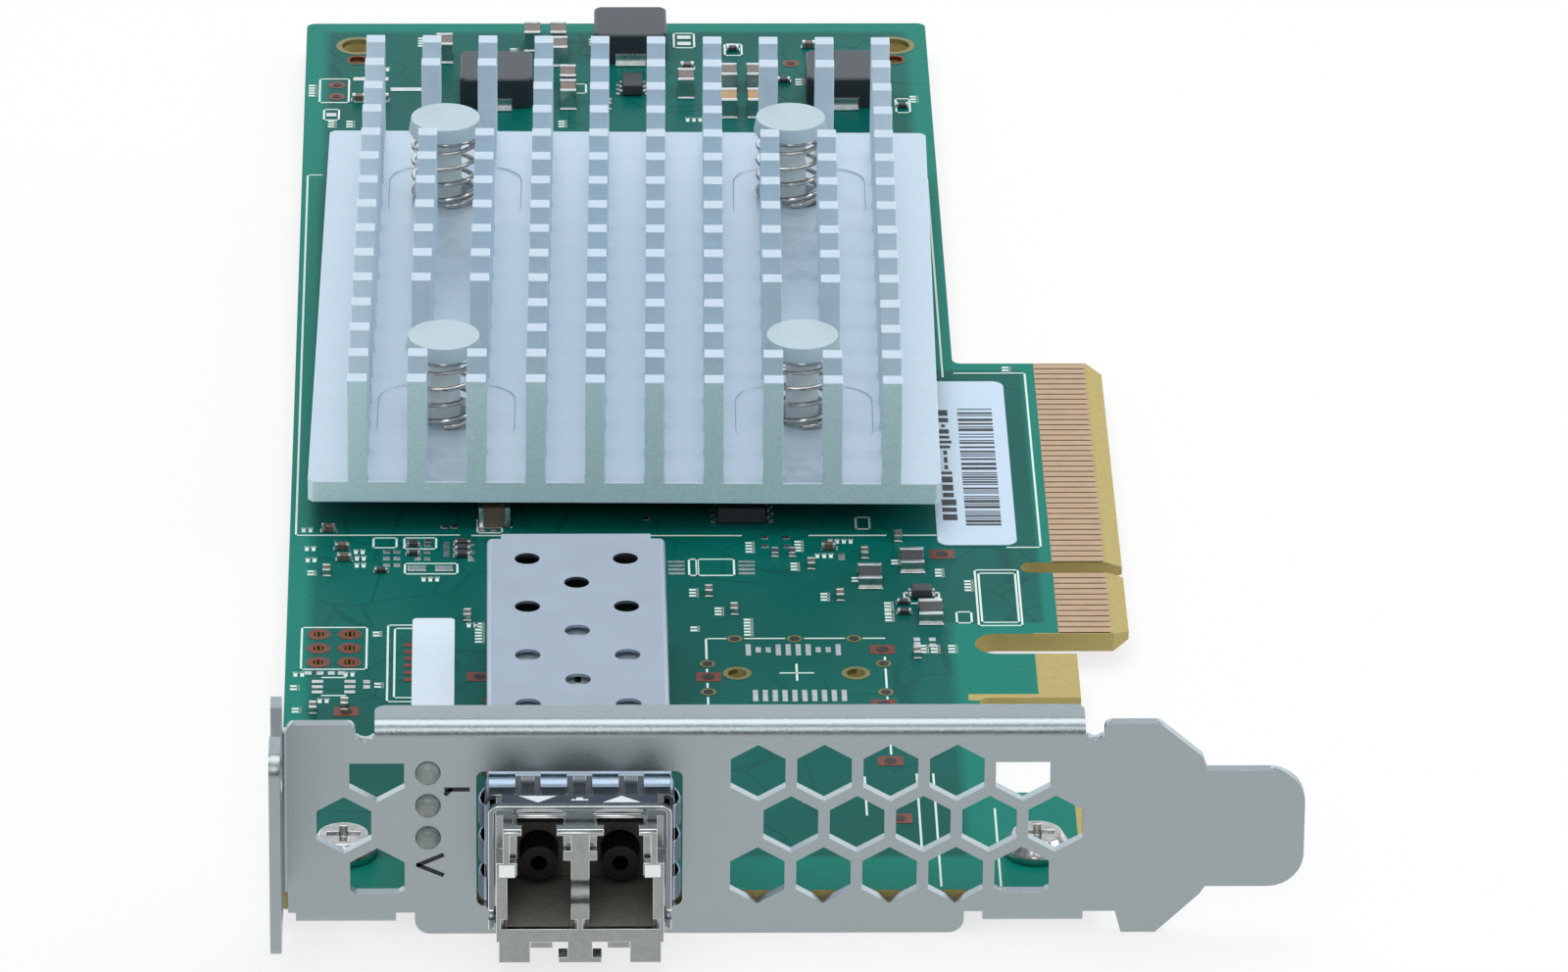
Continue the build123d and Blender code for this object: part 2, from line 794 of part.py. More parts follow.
# Transceiver housing: one casting, a trough behind and the two-port nose in front
module_bottom = cage_floor + cage_sheet + module_floor
module_top = module_bottom + module_height
nose_face = -bracket_face - nose_reach
nose_back = cage_mouth - collar_roll
module_length = module_rear - nose_back
pivot_y = -bracket_face - bail_pivot_back
with BuildPart() as transceiver_housing:
    with BuildSketch(Plane.XY.offset(module_bottom)):
        with Locations((cage_x, nose_back)):
            Rectangle(module_width, module_length, align=(Align.CENTER, Align.MIN))
    extrude(amount=module_height - cover_sheet)
    with BuildSketch(Plane.XY.offset(nose_bottom)):
        with Locations((cage_x, nose_face)):
            Rectangle(nose_width, nose_back - nose_face, align=(Align.CENTER, Align.MIN))
    extrude(amount=nose_top - nose_bottom)
    # The trough that holds the board and the two optical barrels
    trough_front = -port_back + 2.2
    with BuildSketch(Plane.XY.offset(module_bottom + module_wall)):
        with Locations((cage_x, trough_front)):
            Rectangle(
                module_width - 2 * module_wall,
                module_rear - trough_front,
                align=(Align.CENTER, Align.MIN),
            )
    extrude(amount=module_height, mode=Mode.SUBTRACT)
    # The two ports. Each cut runs from one distance from the nose's middle to another, between two
    # heights, to a depth behind the front face
    port_depth = -port_back - nose_face
    inner = (port_pitch - port_width) / 2
    outer = inner + port_width
    rib_side = port_rib / 2
    slot_inner = (port_pitch - port_slot_width) / 2
    slot_depth = nose_reach - top_plate_reach
    port_cuts = (
        (inner, outer, port_floor, port_body_top, port_depth),
        (inner, outer - wall_step, port_body_top, port_shoulder_low, port_depth),
        (divider_shoulder / 2, outer - wall_step, port_shoulder_low, port_latch_top, port_depth),
        (inner, divider_shoulder / 2, port_shoulder_top, port_latch_top, port_front_depth),
        (
            outer - wall_step,
            outer - wall_step + wall_notch,
            port_step_top,
            port_latch_top,
            port_front_depth,
        ),
        (slot_inner, slot_inner + port_slot_width, port_latch_top, nose_top, slot_depth),
        (rib_side, rib_side + port_lead_in_width, port_floor, port_lead_in_top, port_lead_in_depth),
    )
    for side in (-1, 1):
        port_x = cage_x + side * port_pitch / 2
        for near, far, low, high, depth in port_cuts:
            with Locations((cage_x + side * (near + far) / 2, nose_face, low)):
                Box(
                    far - near,
                    depth,
                    high - low,
                    align=(Align.CENTER, Align.MIN, Align.MIN),
                    mode=Mode.SUBTRACT,
                )
        # The nose's upper corners are set in, beside the bail
        with Locations((cage_x + side * nose_width / 2, nose_face, port_step_top)):
            Box(
                2 * nose_notch_width,
                nose_notch_depth,
                nose_top - port_step_top,
                align=(Align.CENTER, Align.MIN, Align.MIN),
                mode=Mode.SUBTRACT,
            )
        # Room for the dark liner behind the front lip
        with Locations((port_x, nose_face + port_lip, port_floor - port_liner)):
            Box(
                port_width + 2 * port_liner,
                port_depth - port_lip,
                port_body_top - port_floor + port_liner,
                align=(Align.CENTER, Align.MIN, Align.MIN),
                mode=Mode.SUBTRACT,
            )
        # The latch slot widens behind the lugs
        with Locations((port_x, nose_face + port_lug_depth, port_latch_top)):
            Box(
                port_slot_rear_width,
                slot_depth - port_lug_depth,
                nose_top - port_latch_top,
                align=(Align.CENTER, Align.MIN, Align.MIN),
                mode=Mode.SUBTRACT,
            )
        # Seat of the optical barrel, from the port into the trough
        with Locations(Location((port_x, -port_back, ferrule_height), (90, 0, 0))):
            Cylinder(barrel_radius + barrel_gap, barrel_bore_length, mode=Mode.SUBTRACT)
    # Feet under the front edge
    foot_reach = (nose_width - foot_width) / 2 - foot_inset
    foot_anchor = (Align.CENTER, Align.MIN, Align.MAX)
    for foot_x, width in ((-foot_reach, foot_width), (0, centre_stem_width), (foot_reach, foot_width)):
        with Locations((cage_x + foot_x, nose_face, nose_bottom)):
            Box(width, foot_depth, foot_height, align=foot_anchor)
    with Locations((cage_x, nose_face, nose_bottom - foot_height + centre_foot_height)):
        Box(centre_foot_width, foot_depth, centre_foot_height, align=foot_anchor)
    # A web runs inwards from each outer foot
    web_x = foot_reach - (foot_width + foot_web_reach) / 2
    for side in (-1, 1):
        with Locations((cage_x + side * web_x, nose_face + foot_web_setback, nose_bottom)):
            Box(foot_web_reach, foot_depth - foot_web_setback, foot_web, align=foot_anchor)
    # Blind holes for the bail's pins
    for side in (-1, 1):
        with BuildSketch(Plane.YZ.offset(cage_x + side * nose_width / 2)):
            with Locations((pivot_y, bail_pivot_height)):
                Circle(bail_pin + bail_pin_clearance)
        extrude(amount=-side * (bail_pin_length + 0.1), mode=Mode.SUBTRACT)
    front_edges = transceiver_housing.edges().filter_by(Axis.X).group_by(Axis.Y)[0]
    chamfer(front_edges.group_by(Axis.Z)[-1], 0.2)
save(transceiver_housing, "transceiver_housing")

# Dark plastic liner of both ports: floor, walls and back, with a hole for each ferrule barrel
with BuildPart() as port_liners:
    for side in (-1, 1):
        port_x = cage_x + side * port_pitch / 2
        liner_front = nose_face + port_lip + liner_gap
        liner_length = -port_back - liner_front
        liner_height = port_body_top - port_floor + port_liner - liner_gap
        with Locations((port_x, liner_front, port_floor - port_liner)):
            Box(
                port_width + 2 * (port_liner - liner_gap),
                liner_length,
                liner_height,
                align=(Align.CENTER, Align.MIN, Align.MIN),
            )
        with Locations((port_x, liner_front, port_floor)):
            Box(
                port_width,
                liner_length - port_liner_back,
                liner_height,
                align=(Align.CENTER, Align.MIN, Align.MIN),
                mode=Mode.SUBTRACT,
            )
        with Locations(Location((port_x, -port_back, ferrule_height), (90, 0, 0))):
            Cylinder(barrel_nose + barrel_gap, barrel_bore_length, mode=Mode.SUBTRACT)
save(port_liners, "port_liners")

# Sheet cover over the trough
with BuildPart() as transceiver_cover:
    with BuildSketch(Plane.XY.offset(module_top - cover_sheet)):
        with Locations((cage_x, nose_back + 0.5)):
            Rectangle(module_width, module_length - 0.5, align=(Align.CENTER, Align.MIN))
    extrude(amount=cover_sheet)
    # Folded rear wall, with a slot that the edge of the board passes through
    rear_wall_height = module_top - module_bottom - module_wall
    with BuildSketch(Plane.XZ.offset(-module_rear)):
        with Locations((cage_x, module_top - rear_wall_height / 2)):
            Rectangle(module_width - 2 * module_wall - 0.1, rear_wall_height)
        with Locations((cage_x, card_plane)):
            Rectangle(
                module_board_width + 0.3, module_board_thickness + 0.3, mode=Mode.SUBTRACT
            )
    extrude(amount=cover_sheet)
save(transceiver_cover, "transceiver_cover")

# The transceiver's board, its driver chip and its two optical barrels
module_board_front = trough_front + module_board_setback
module_board_rear = host_front + module_board_engagement
with BuildPart() as transceiver_board:
    with Locations((cage_x, module_board_front, card_plane)):
        Box(
            module_board_width,
            module_board_rear - module_board_front,
            module_board_thickness,
            align=(Align.CENTER, Align.MIN, Align.CENTER),
        )
    chamfer(transceiver_board.edges().filter_by(Axis.X).group_by(Axis.Y)[-1], module_board_chamfer)
save(transceiver_board, "transceiver_board")

with BuildPart() as driver_chip:
    driver_y = module_board_front + driver_setback
    with Locations((cage_x, driver_y, card_plane + module_board_thickness / 2)):
        Box(*driver_size, align=bottom_anchor)
    chamfer(driver_chip.edges().group_by(Axis.Z)[-1], chip_chamfer)
save(driver_chip, "driver_chip")

for barrel_name, side in (("transmitter_barrel", -1), ("receiver_barrel", 1)):
    port_x = cage_x + side * port_pitch / 2
    barrel_front = -port_back - barrel_nose_length
    barrel_length = module_board_front - barrel_front
    barrel_plane = Plane((port_x, barrel_front, ferrule_height), x_dir=(1, 0, 0), z_dir=(0, 1, 0))
    with BuildPart() as optical_barrel:
        with BuildSketch(barrel_plane):
            Circle(barrel_nose)
            Circle(ferrule_radius, mode=Mode.SUBTRACT)
        extrude(amount=barrel_nose_length)
        with BuildSketch(barrel_plane.offset(barrel_nose_length)):
            Circle(barrel_radius)
        extrude(amount=barrel_length - barrel_nose_length)
    save(optical_barrel, barrel_name)

# Dark strip on the nose that carries the port marks
with BuildPart() as port_mark_strip:
    with Locations((cage_x, nose_back - 0.05, nose_top)):
        Box(
            nose_width - 0.9,
            mark_strip_depth,
            mark_strip,
            align=(Align.CENTER, Align.MAX, Align.MIN),
        )
save(port_mark_strip, "port_mark_strip")

# Bail latch: a stamped hoop over the nose, hinged at the foot of its arms
bail_inner = nose_width + 2 * bail_gap
bail_outer = bail_inner + 2 * bail_sheet
bail_top = nose_top + bail_rise + bail_sheet
with BuildPart() as bail_latch:
    with BuildSketch(Plane.XZ.offset(-pivot_y - bail_arm / 2)) as hoop:
        with Locations((cage_x, bail_top)):
            Rectangle(bail_outer, bail_top - bail_pivot_height, align=(Align.CENTER, Align.MAX))
        fillet(hoop.vertices().group_by(Axis.Y)[-1], bail_bend + bail_sheet)
        with Locations((cage_x, bail_top - bail_sheet)):
            Rectangle(
                bail_inner,
                bail_top - bail_sheet - bail_pivot_height,
                align=(Align.CENTER, Align.MAX),
                mode=Mode.SUBTRACT,
            )
        inner_corners = hoop.vertices().filter_by(lambda v: abs(v.Y - bail_top + bail_sheet) < 0.01)
        fillet(inner_corners, bail_bend)
    extrude(amount=bail_arm)
    for side in (-1, 1):
        arm_plane = Plane.YZ.offset(cage_x + side * (bail_inner / 2 + bail_sheet / 2))
        with BuildSketch(arm_plane):
            with Locations((pivot_y, bail_pivot_height)):
                Circle(bail_eye)
        extrude(amount=bail_sheet / 2, both=True)
        pin_plane = Plane.YZ.offset(cage_x + side * bail_inner / 2)
        with BuildSketch(pin_plane):
            with Locations((pivot_y, bail_pivot_height)):
                Circle(bail_pin)
        extrude(amount=-side * (bail_pin_length + bail_gap))
save(bail_latch, "bail_latch")

# Light guides: one clear moulding of three lenses on square rods, each turned down to its diode
with BuildPart() as light_guide:
    lens_back = -bracket_face + sheet + 0.3
    rod_backs = [
        -bracket_face + guide_first_drop - i * guide_spacing for i in range(len(guide_heights))
    ]
    for rod_height, rod_back in zip(guide_heights, rod_backs):
        with BuildSketch(Plane.XZ.offset(-lens_back)):
            with Locations((guide_x, rod_height)):
                Circle(guide_radius)
        extrude(amount=lens_back + bracket_face + guide_proud)
        with BuildSketch(Plane.YZ.offset(guide_x)) as rod:
            with Locations((rod_back + guide_radius, rod_height + guide_radius)):
                Rectangle(
                    rod_back + guide_radius - lens_back,
                    rod_height + guide_radius - led_height - guide_gap,
                    align=(Align.MAX, Align.MAX),
                )
            fillet(rod.vertices().group_by(Axis.X)[-1].group_by(Axis.Y)[-1], guide_bend)
            with Locations((rod_back - guide_radius, rod_height - guide_radius)):
                Rectangle(
                    rod_back - guide_radius - lens_back,
                    rod_height - guide_radius - led_height - guide_gap,
                    align=(Align.MAX, Align.MAX),
                    mode=Mode.SUBTRACT,
                )
        extrude(amount=guide_radius * 0.9, both=True)
    with BuildSketch(Plane.YZ.offset(guide_x - guide_web / 2)):
        with Locations((lens_back, guide_heights[-1])):
            Rectangle(1.4, guide_heights[0] - guide_heights[-1], align=(Align.MIN, Align.MIN))
        with Locations((rod_backs[-1], 2.0)):
            Rectangle(rod_backs[0] - rod_backs[-1], 1.2, align=(Align.MIN, Align.MIN))
    extrude(amount=guide_web)
save(light_guide, "light_guide")

with BuildPart() as status_leds:
    for rod_back in rod_backs:
        with Locations((guide_x, rod_back, 0)):
            Box(led_size, led_size, led_height, align=bottom_anchor)
save(status_leds, "status_leds")

# Controller chip: a package with a raised lid
with BuildPart() as controller_chip:
    with Locations((sink_x, sink_y, 0)):
        lid_height = controller_height * controller_lid_share
        lid_foot = controller_height - lid_height
        Box(controller_size, controller_size, lid_foot, align=bottom_anchor)
        with Locations((0, 0, lid_foot)):
            Box(controller_lid, controller_lid, lid_height, align=bottom_anchor)
    chamfer(controller_chip.edges().group_by(Axis.Z)[-1], controller_chamfer)
save(controller_chip, "controller_chip")

with BuildPart() as thermal_pad:
    with Locations((sink_x, sink_y, controller_height)):
        Box(pad_size, pad_size, pad_thickness, align=bottom_anchor)
save(thermal_pad, "thermal_pad")

# Heatsink: a base with rows of pin fins, left out round the push pins
with BuildPart() as heatsink:
    with Locations((sink_x, sink_y, base_bottom)):
        Box(sink_width, sink_length, base_thickness, align=bottom_anchor)
    chamfer(heatsink.edges().filter_by(Axis.Z), sink_corner)
    with Locations((sink_x, sink_y, base_bottom)):
        Box(pad_size + 2, pad_size + 2, sink_pedestal, align=top_anchor)
    # Shallow milled pockets that clear the springs
    with BuildSketch(Plane.XY.offset(base_top - pocket_depth)):
        with Locations(*push_points):
            RectangleRounded(pocket_width, pocket_width, pocket_corner)
    extrude(amount=pocket_depth, mode=Mode.SUBTRACT)
    with BuildSketch(Plane.XY.offset(base_top - pocket_depth)):
        with Locations((sink_x, sink_y)):
            with GridLocations(fin_column_pitch, fin_row_pitch, fin_columns, fin_rows) as grid:
                fin_places = [place.position for place in grid.locations]
        kept = [
            (p.X, p.Y)
            for p in fin_places
            if min(hypot(p.X - x, p.Y - y) for x, y in push_points) > fin_clearance
        ]
        with Locations(*kept):
            Rectangle(fin_width, fin_depth)
    extrude(amount=fin_height + pocket_depth)
    with Locations(*[(x, y, base_top) for x, y in push_points]):
        Hole(push_shaft_radius + push_hole_clearance, depth=base_thickness + 1)
save(heatsink, "heatsink")

# Push pins: a domed head, a shaft through sink and board, and a split barbed end
shaft_bottom = board_bottom - push_barb_height
with BuildPart() as push_pins:
    with BuildSketch(Plane.XZ):
        with BuildLine():
            head_low = push_head_top - push_head_height
            Polyline(
                (0, push_head_top),
                (push_head_radius, push_head_top),
                (push_head_radius, head_low),
                (push_shaft_radius, head_low),
                (push_shaft_radius, board_bottom - 0.1),
                (push_shaft_radius + push_barb, board_bottom - 0.15),
                (push_shaft_radius * 0.55, shaft_bottom),
                (0, shaft_bottom),
                close=True,
            )
        make_face()
    pin_solid = revolve(axis=Axis.Z, mode=Mode.PRIVATE)
    with Locations(*[(x, y, 0) for x, y in push_points]):
        add(pin_solid)
        with Locations((0, 0, shaft_bottom)):
            Box(
                push_slit,
                3 * push_shaft_radius,
                push_barb_height - 0.2,
                align=bottom_anchor,
                mode=Mode.SUBTRACT,
            )
save(push_pins, "push_pins")

# Coil springs between the heatsink and the heads of the push pins
spring_seat = base_top - pocket_depth
spring_height = head_low - spring_seat - spring_wire
with BuildPart() as push_pin_springs:
    with BuildLine() as spring_path:
        steps = round(spring_turns * spring_steps)
        Polyline(
            *[
                (
                    spring_radius * cos(radians(360 * i / spring_steps)),
                    spring_radius * sin(radians(360 * i / spring_steps)),
                    spring_height * i / steps,
                )
                for i in range(steps + 1)
            ]
        )
    with BuildSketch(Plane(spring_path.line @ 0, z_dir=spring_path.line % 0)):
        RegularPolygon(spring_wire / 2, 4)
    coil = sweep(path=spring_path.line, transition=Transition.RIGHT, mode=Mode.PRIVATE)
    with Locations(*[(x, y, spring_seat + spring_wire / 2) for x, y in push_points]):
        add(coil)
save(push_pin_springs, "push_pin_springs")


def surface_chips(places, size, name, face=0):
    """Group of like chips on the board.

    Each place is the distance from the board's left edge, the distance behind the key notch, and
    whether the chip lies along Y.
    """
    length, width, height = size
    with BuildPart() as chips:
        with BuildSketch(Plane.XY.offset(face)):
            for chip_inset, chip_y, along_y in places:
                with Locations((board_left + chip_inset, chip_y)):
                    Rectangle(length, width, rotation=90 if along_y else 0)
        extrude(amount=height if face == 0 else -height)
    save(chips, name)


# Moulded power inductors: softened blocks that stand over two solder feet
rear = board_rear
inductor_centres = {
    "power_inductor_left": (board_left + 16.9, rear - 15.6),
    "power_inductor_middle": (board_left + 28.8, rear - 5.8),
    "power_inductor_right": (board_left + 47.4, rear - 15.5),
}
for inductor_name, centre in inductor_centres.items():
    with BuildPart() as inductor:
        with Locations((*centre, 0)):
            Box(inductor_size, inductor_size, inductor_height, align=bottom_anchor)
        chamfer(inductor.edges().filter_by(Axis.Z), inductor_corner)
        chamfer(inductor.edges().group_by(Axis.Z)[-1], inductor_top_chamfer)
        foot = Box(
            inductor_size * 0.45,
            inductor_foot_depth,
            inductor_height * 0.35,
            align=bottom_anchor,
            mode=Mode.PRIVATE,
        )
        with Locations((*centre, 0)):
            Box(
                inductor_size,
                inductor_size * 0.4,
                inductor_standoff,
                align=bottom_anchor,
                mode=Mode.SUBTRACT,
            )
            for side in (-1, 1):
                with Locations((0, side * (inductor_size / 2 - inductor_foot_inset), 0)):
                    add(foot)
    save(inductor, inductor_name)

# Ceramic capacitors, tall brown ones and the pale ones beside them
surface_chips(
    [
        (20.1, rear - 4.9, True),
        (22.4, rear - 4.9, True),
        (22.5, rear - 8.2, True),
        (23.2, rear - 14.5, True),
        (23.2, rear - 17.7, True),
        (37.4, rear - 14.2, True),
        (39.7, rear - 14.2, True),
        (33.6, rear - 15.3, True),
        (12.3, rear - 7.5, True),
        (16.7, 8.2, False),
    ],
    ceramic_size,
    "ceramic_capacitors",
)
surface_chips(
    [(37.3, rear - 19.5, True), (39.7, rear - 19.5, True)], tantalum_size, "tantalum_capacitors"
)
surface_chips(
    [
        (3.2, 7.0, False),
        (4.3, 3.6, False),
        (4.5, 1.6, False),
        (3.1, -0.8, True),
        (14.5, -9.0, True),
        (4.8, -24.9, True),
        (2.3, -25.6, True),
        (43.9, 3.5, False),
        (46.8, 2.3, True),
        (42.4, 0.3, True),
        (34, -4.7, True),
        (36, -8.0, True),
        (44.6, -5.5, True),
        (50.5, -16.0, True),
        (49.6, 5.4, True),
        (33.8, rear - 10.1, False),
        (10.7, rear - 14.0, True),
        (4.8, rear - 17.0, False),
        (6.8, rear - 17.0, False),
        (44.7, rear - 5.4, False),
        (26.7, rear - 18.4, True),
    ],
    small_capacitor_size,
    "small_capacitors",
)
surface_chips(
    [
        (37.9, rear - 6.0, False),
        (42.3, rear - 13.0, False),
        (52.6, rear - 18.6, False),
        (49.7, -6.6, False),
        (49.7, -8.4, False),
        (40.9, 2.6, True),
        (39.5, 2.6, True),
        (10.1, 2.6, False),
        (10.1, 4.2, False),
        (7.5, -0.6, False),
    ],
    resistor_size,
    "chip_resistors",
)
resistor_row = [(14.1, 3.4 + 1.1 * i, False) for i in (-1, 0, 1)]
surface_chips(resistor_row, resistor_pack_size, "resistor_pack")
surface_chips([(47.1, -2.3, True), (50.6, 0.6, True), (51.8, -8.9, True)], fuse_size, "fuses")


def leaded_chip(inset, chip_y, size, pins, pitch, name):
    """Moulded chip with flat leads along its two long sides, set in from the board's left edge."""
    width, length, height = size
    centre = (board_left + inset, chip_y)
    with BuildPart() as chip:
        with Locations((*centre, chip_standoff)):
            Box(width, length, height - chip_standoff, align=bottom_anchor)
        chamfer(chip.edges().group_by(Axis.Z)[-1], chip_chamfer)
        lead = Box(lead_run, pitch * 0.4, lead_height, align=bottom_anchor, mode=Mode.PRIVATE)
        with Locations((*centre, 0)):
            with GridLocations(width + lead_reach, pitch, 2, pins):
                add(lead)
    save(chip, name)


leaded_chip(28.9, rear - 14.8, regulator_size, 3, 0.95, "regulator_chip")
leaded_chip(51.2, -5.3, transistor_size, 2, 0.9, "transistor")
leaded_chip(36.9, sink_y - sink_length / 2 + 3.6, memory_size, 4, 1.27, "memory_chip")

# Solder-side capacitors: lane coupling behind the tab and bypass behind the controller
coupling_row = [(54.7, 10.2 + 1.7 * i, False) for i in range(16)]
surface_chips(coupling_row, coupling_size, "coupling_capacitors", board_bottom)
bypass_grid = [
    (sink_inset + 4.0 * i, sink_y + 4.0 * j, False) for i in (-1, 0, 1) for j in (-1, 0, 1)
]
surface_chips(bypass_grid, small_capacitor_size, "bypass_capacitors", board_bottom)

# Paper labels, stuck flat on the board: one beside the contact fingers, one near the bracket
finger_root = -finger_tip_gap - finger_length
code_label_x = finger_root - code_label_gap - code_label_width / 2
blank_label_x = board_left + blank_label_inset
labels = {
    "code_label": ((code_label_x, code_label_y), (code_label_width, code_label_length), 1.0),
    "blank_label": ((blank_label_x, blank_label_y), (blank_label_width, blank_label_length), 0.4),
}
for label_name, (centre, (label_width, label_length), corner_radius) in labels.items():
    with BuildPart() as paper_label:
        with BuildSketch():
            with Locations(centre):
                RectangleRounded(label_width, label_length, corner_radius)
        extrude(amount=label_paper)
    save(paper_label, label_name)
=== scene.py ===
"""Looks of a low-profile fibre channel adapter: plated sheet metal, solder mask, castings and small parts."""
import random
from math import cos, pi, radians, sin, sqrt

import bpy
from mathutils import Matrix, Vector


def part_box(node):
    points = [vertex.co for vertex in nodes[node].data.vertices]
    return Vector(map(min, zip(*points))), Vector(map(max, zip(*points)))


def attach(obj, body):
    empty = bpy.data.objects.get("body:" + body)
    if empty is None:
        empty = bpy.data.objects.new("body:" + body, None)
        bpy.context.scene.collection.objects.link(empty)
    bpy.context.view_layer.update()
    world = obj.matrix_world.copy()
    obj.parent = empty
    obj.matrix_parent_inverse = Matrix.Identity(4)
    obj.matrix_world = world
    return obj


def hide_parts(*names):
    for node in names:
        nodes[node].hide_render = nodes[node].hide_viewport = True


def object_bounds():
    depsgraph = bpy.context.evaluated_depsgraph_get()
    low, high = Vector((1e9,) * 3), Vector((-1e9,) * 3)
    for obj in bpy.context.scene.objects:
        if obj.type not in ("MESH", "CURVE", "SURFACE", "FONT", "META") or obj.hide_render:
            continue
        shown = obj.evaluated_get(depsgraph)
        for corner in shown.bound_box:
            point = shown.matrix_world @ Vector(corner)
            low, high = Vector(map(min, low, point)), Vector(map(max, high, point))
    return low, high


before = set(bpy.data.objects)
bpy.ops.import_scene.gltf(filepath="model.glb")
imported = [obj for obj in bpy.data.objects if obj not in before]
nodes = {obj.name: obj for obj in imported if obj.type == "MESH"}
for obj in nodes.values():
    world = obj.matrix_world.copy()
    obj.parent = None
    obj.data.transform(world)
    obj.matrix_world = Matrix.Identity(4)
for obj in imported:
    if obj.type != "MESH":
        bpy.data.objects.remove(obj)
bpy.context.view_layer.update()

MM = 0.001
CARD = "card"
BAIL = "bail"
scene = bpy.context.scene

# Places on the card in millimetres that several pieces share
NOSE_X = -44.5
BRACKET_FACE = -57.74
LIGHT_GUIDE_X = -56.1
LIGHT_GUIDE_HEIGHTS = (10.74, 7.94, 5.19)
INDUCTORS = ("power_inductor_left", "power_inductor_middle", "power_inductor_right")


# Materials

def colour(code):
    """Linear colour of an sRGB hex code."""
    channels = [int(code[i:i + 2], 16) / 255 for i in (0, 2, 4)]
    linear = [c / 12.92 if c <= 0.04045 else ((c + 0.055) / 1.055) ** 2.4 for c in channels]
    return (*linear, 1.0)


def material(name, **surface):
    """A new material with its shader's plain values set, and its tree and shader."""
    made = bpy.data.materials.new(name)
    made.use_nodes = True
    tree = made.node_tree
    shader = tree.nodes["Principled BSDF"]
    for socket, value in surface.items():
        shader.inputs[socket.replace("_", " ")].default_value = value
    return made, tree, shader


def add(tree, kind, settings=None, inputs=None):
    """A shader node with its settings, its inputs given as values or as other nodes' outputs."""
    node = tree.nodes.new("ShaderNode" + kind)
    for name, value in (settings or {}).items():
        setattr(node, name, value)
    for socket, value in (inputs or {}).items():
        if isinstance(value, bpy.types.NodeSocket):
            tree.links.new(value, node.inputs[socket])
        else:
            node.inputs[socket].default_value = value
    return node


def grain(tree, spacing_mm, detail=2.0, stretch=(1, 1, 1)):
    """Noise on the object's own coordinates with lumps of a size in millimetres."""
    place = add(tree, "TexCoord").outputs["Object"]
    scaled = add(tree, "Mapping", inputs={"Vector": place, "Scale": stretch}).outputs["Vector"]
    return add(tree, "TexNoise", inputs={
        "Vector": scaled, "Scale": 1 / (spacing_mm * MM), "Detail": detail}).outputs["Fac"]


def ramp(tree, factor, low, high, low_value, high_value):
    """A factor stretched from one range to another."""
    return add(tree, "MapRange", inputs={
        "Value": factor, "From Min": low, "From Max": high,
        "To Min": low_value, "To Max": high_value}).outputs["Result"]


def mix(tree, factor, first, second):
    """Two colours mixed by a factor."""
    node = add(tree, "Mix", {"data_type": "RGBA"}, {0: factor, 6: first, 7: second})
    return node.outputs[2]


def bump(tree, shader, height, depth_mm, strength=1.0):
    """A height on the shader's normal, its depth in millimetres."""
    node = add(tree, "Bump", inputs={"Height": height, "Distance": depth_mm * MM, "Strength": strength})
    tree.links.new(node.outputs["Normal"], shader.inputs["Normal"])


def link(tree, output, shader, socket):
    """An output joined to one of the shader's sockets."""
    tree.links.new(output, shader.inputs[socket])


def within(tree, along, low_x, high_x, low_y, high_y, soft=0.3):
    """1 inside a box of the board in millimetres, falling to 0 over a soft border."""
    x, y = along.outputs["X"], along.outputs["Y"]
    inside = ramp(tree, x, low_x * MM, (low_x + soft) * MM, 0, 1)
    for side in (
        ramp(tree, x, (high_x - soft) * MM, high_x * MM, 1, 0),
        ramp(tree, y, low_y * MM, (low_y + soft) * MM, 0, 1),
        ramp(tree, y, (high_y - soft) * MM, high_y * MM, 1, 0),
    ):
        inside = combine(tree, "MULTIPLY", inside, side)
    return inside


def combine(tree, operation, first, second):
    """Two factors put together by an operation."""
    return add(tree, "Math", {"operation": operation}, {0: first, 1: second}).outputs[0]


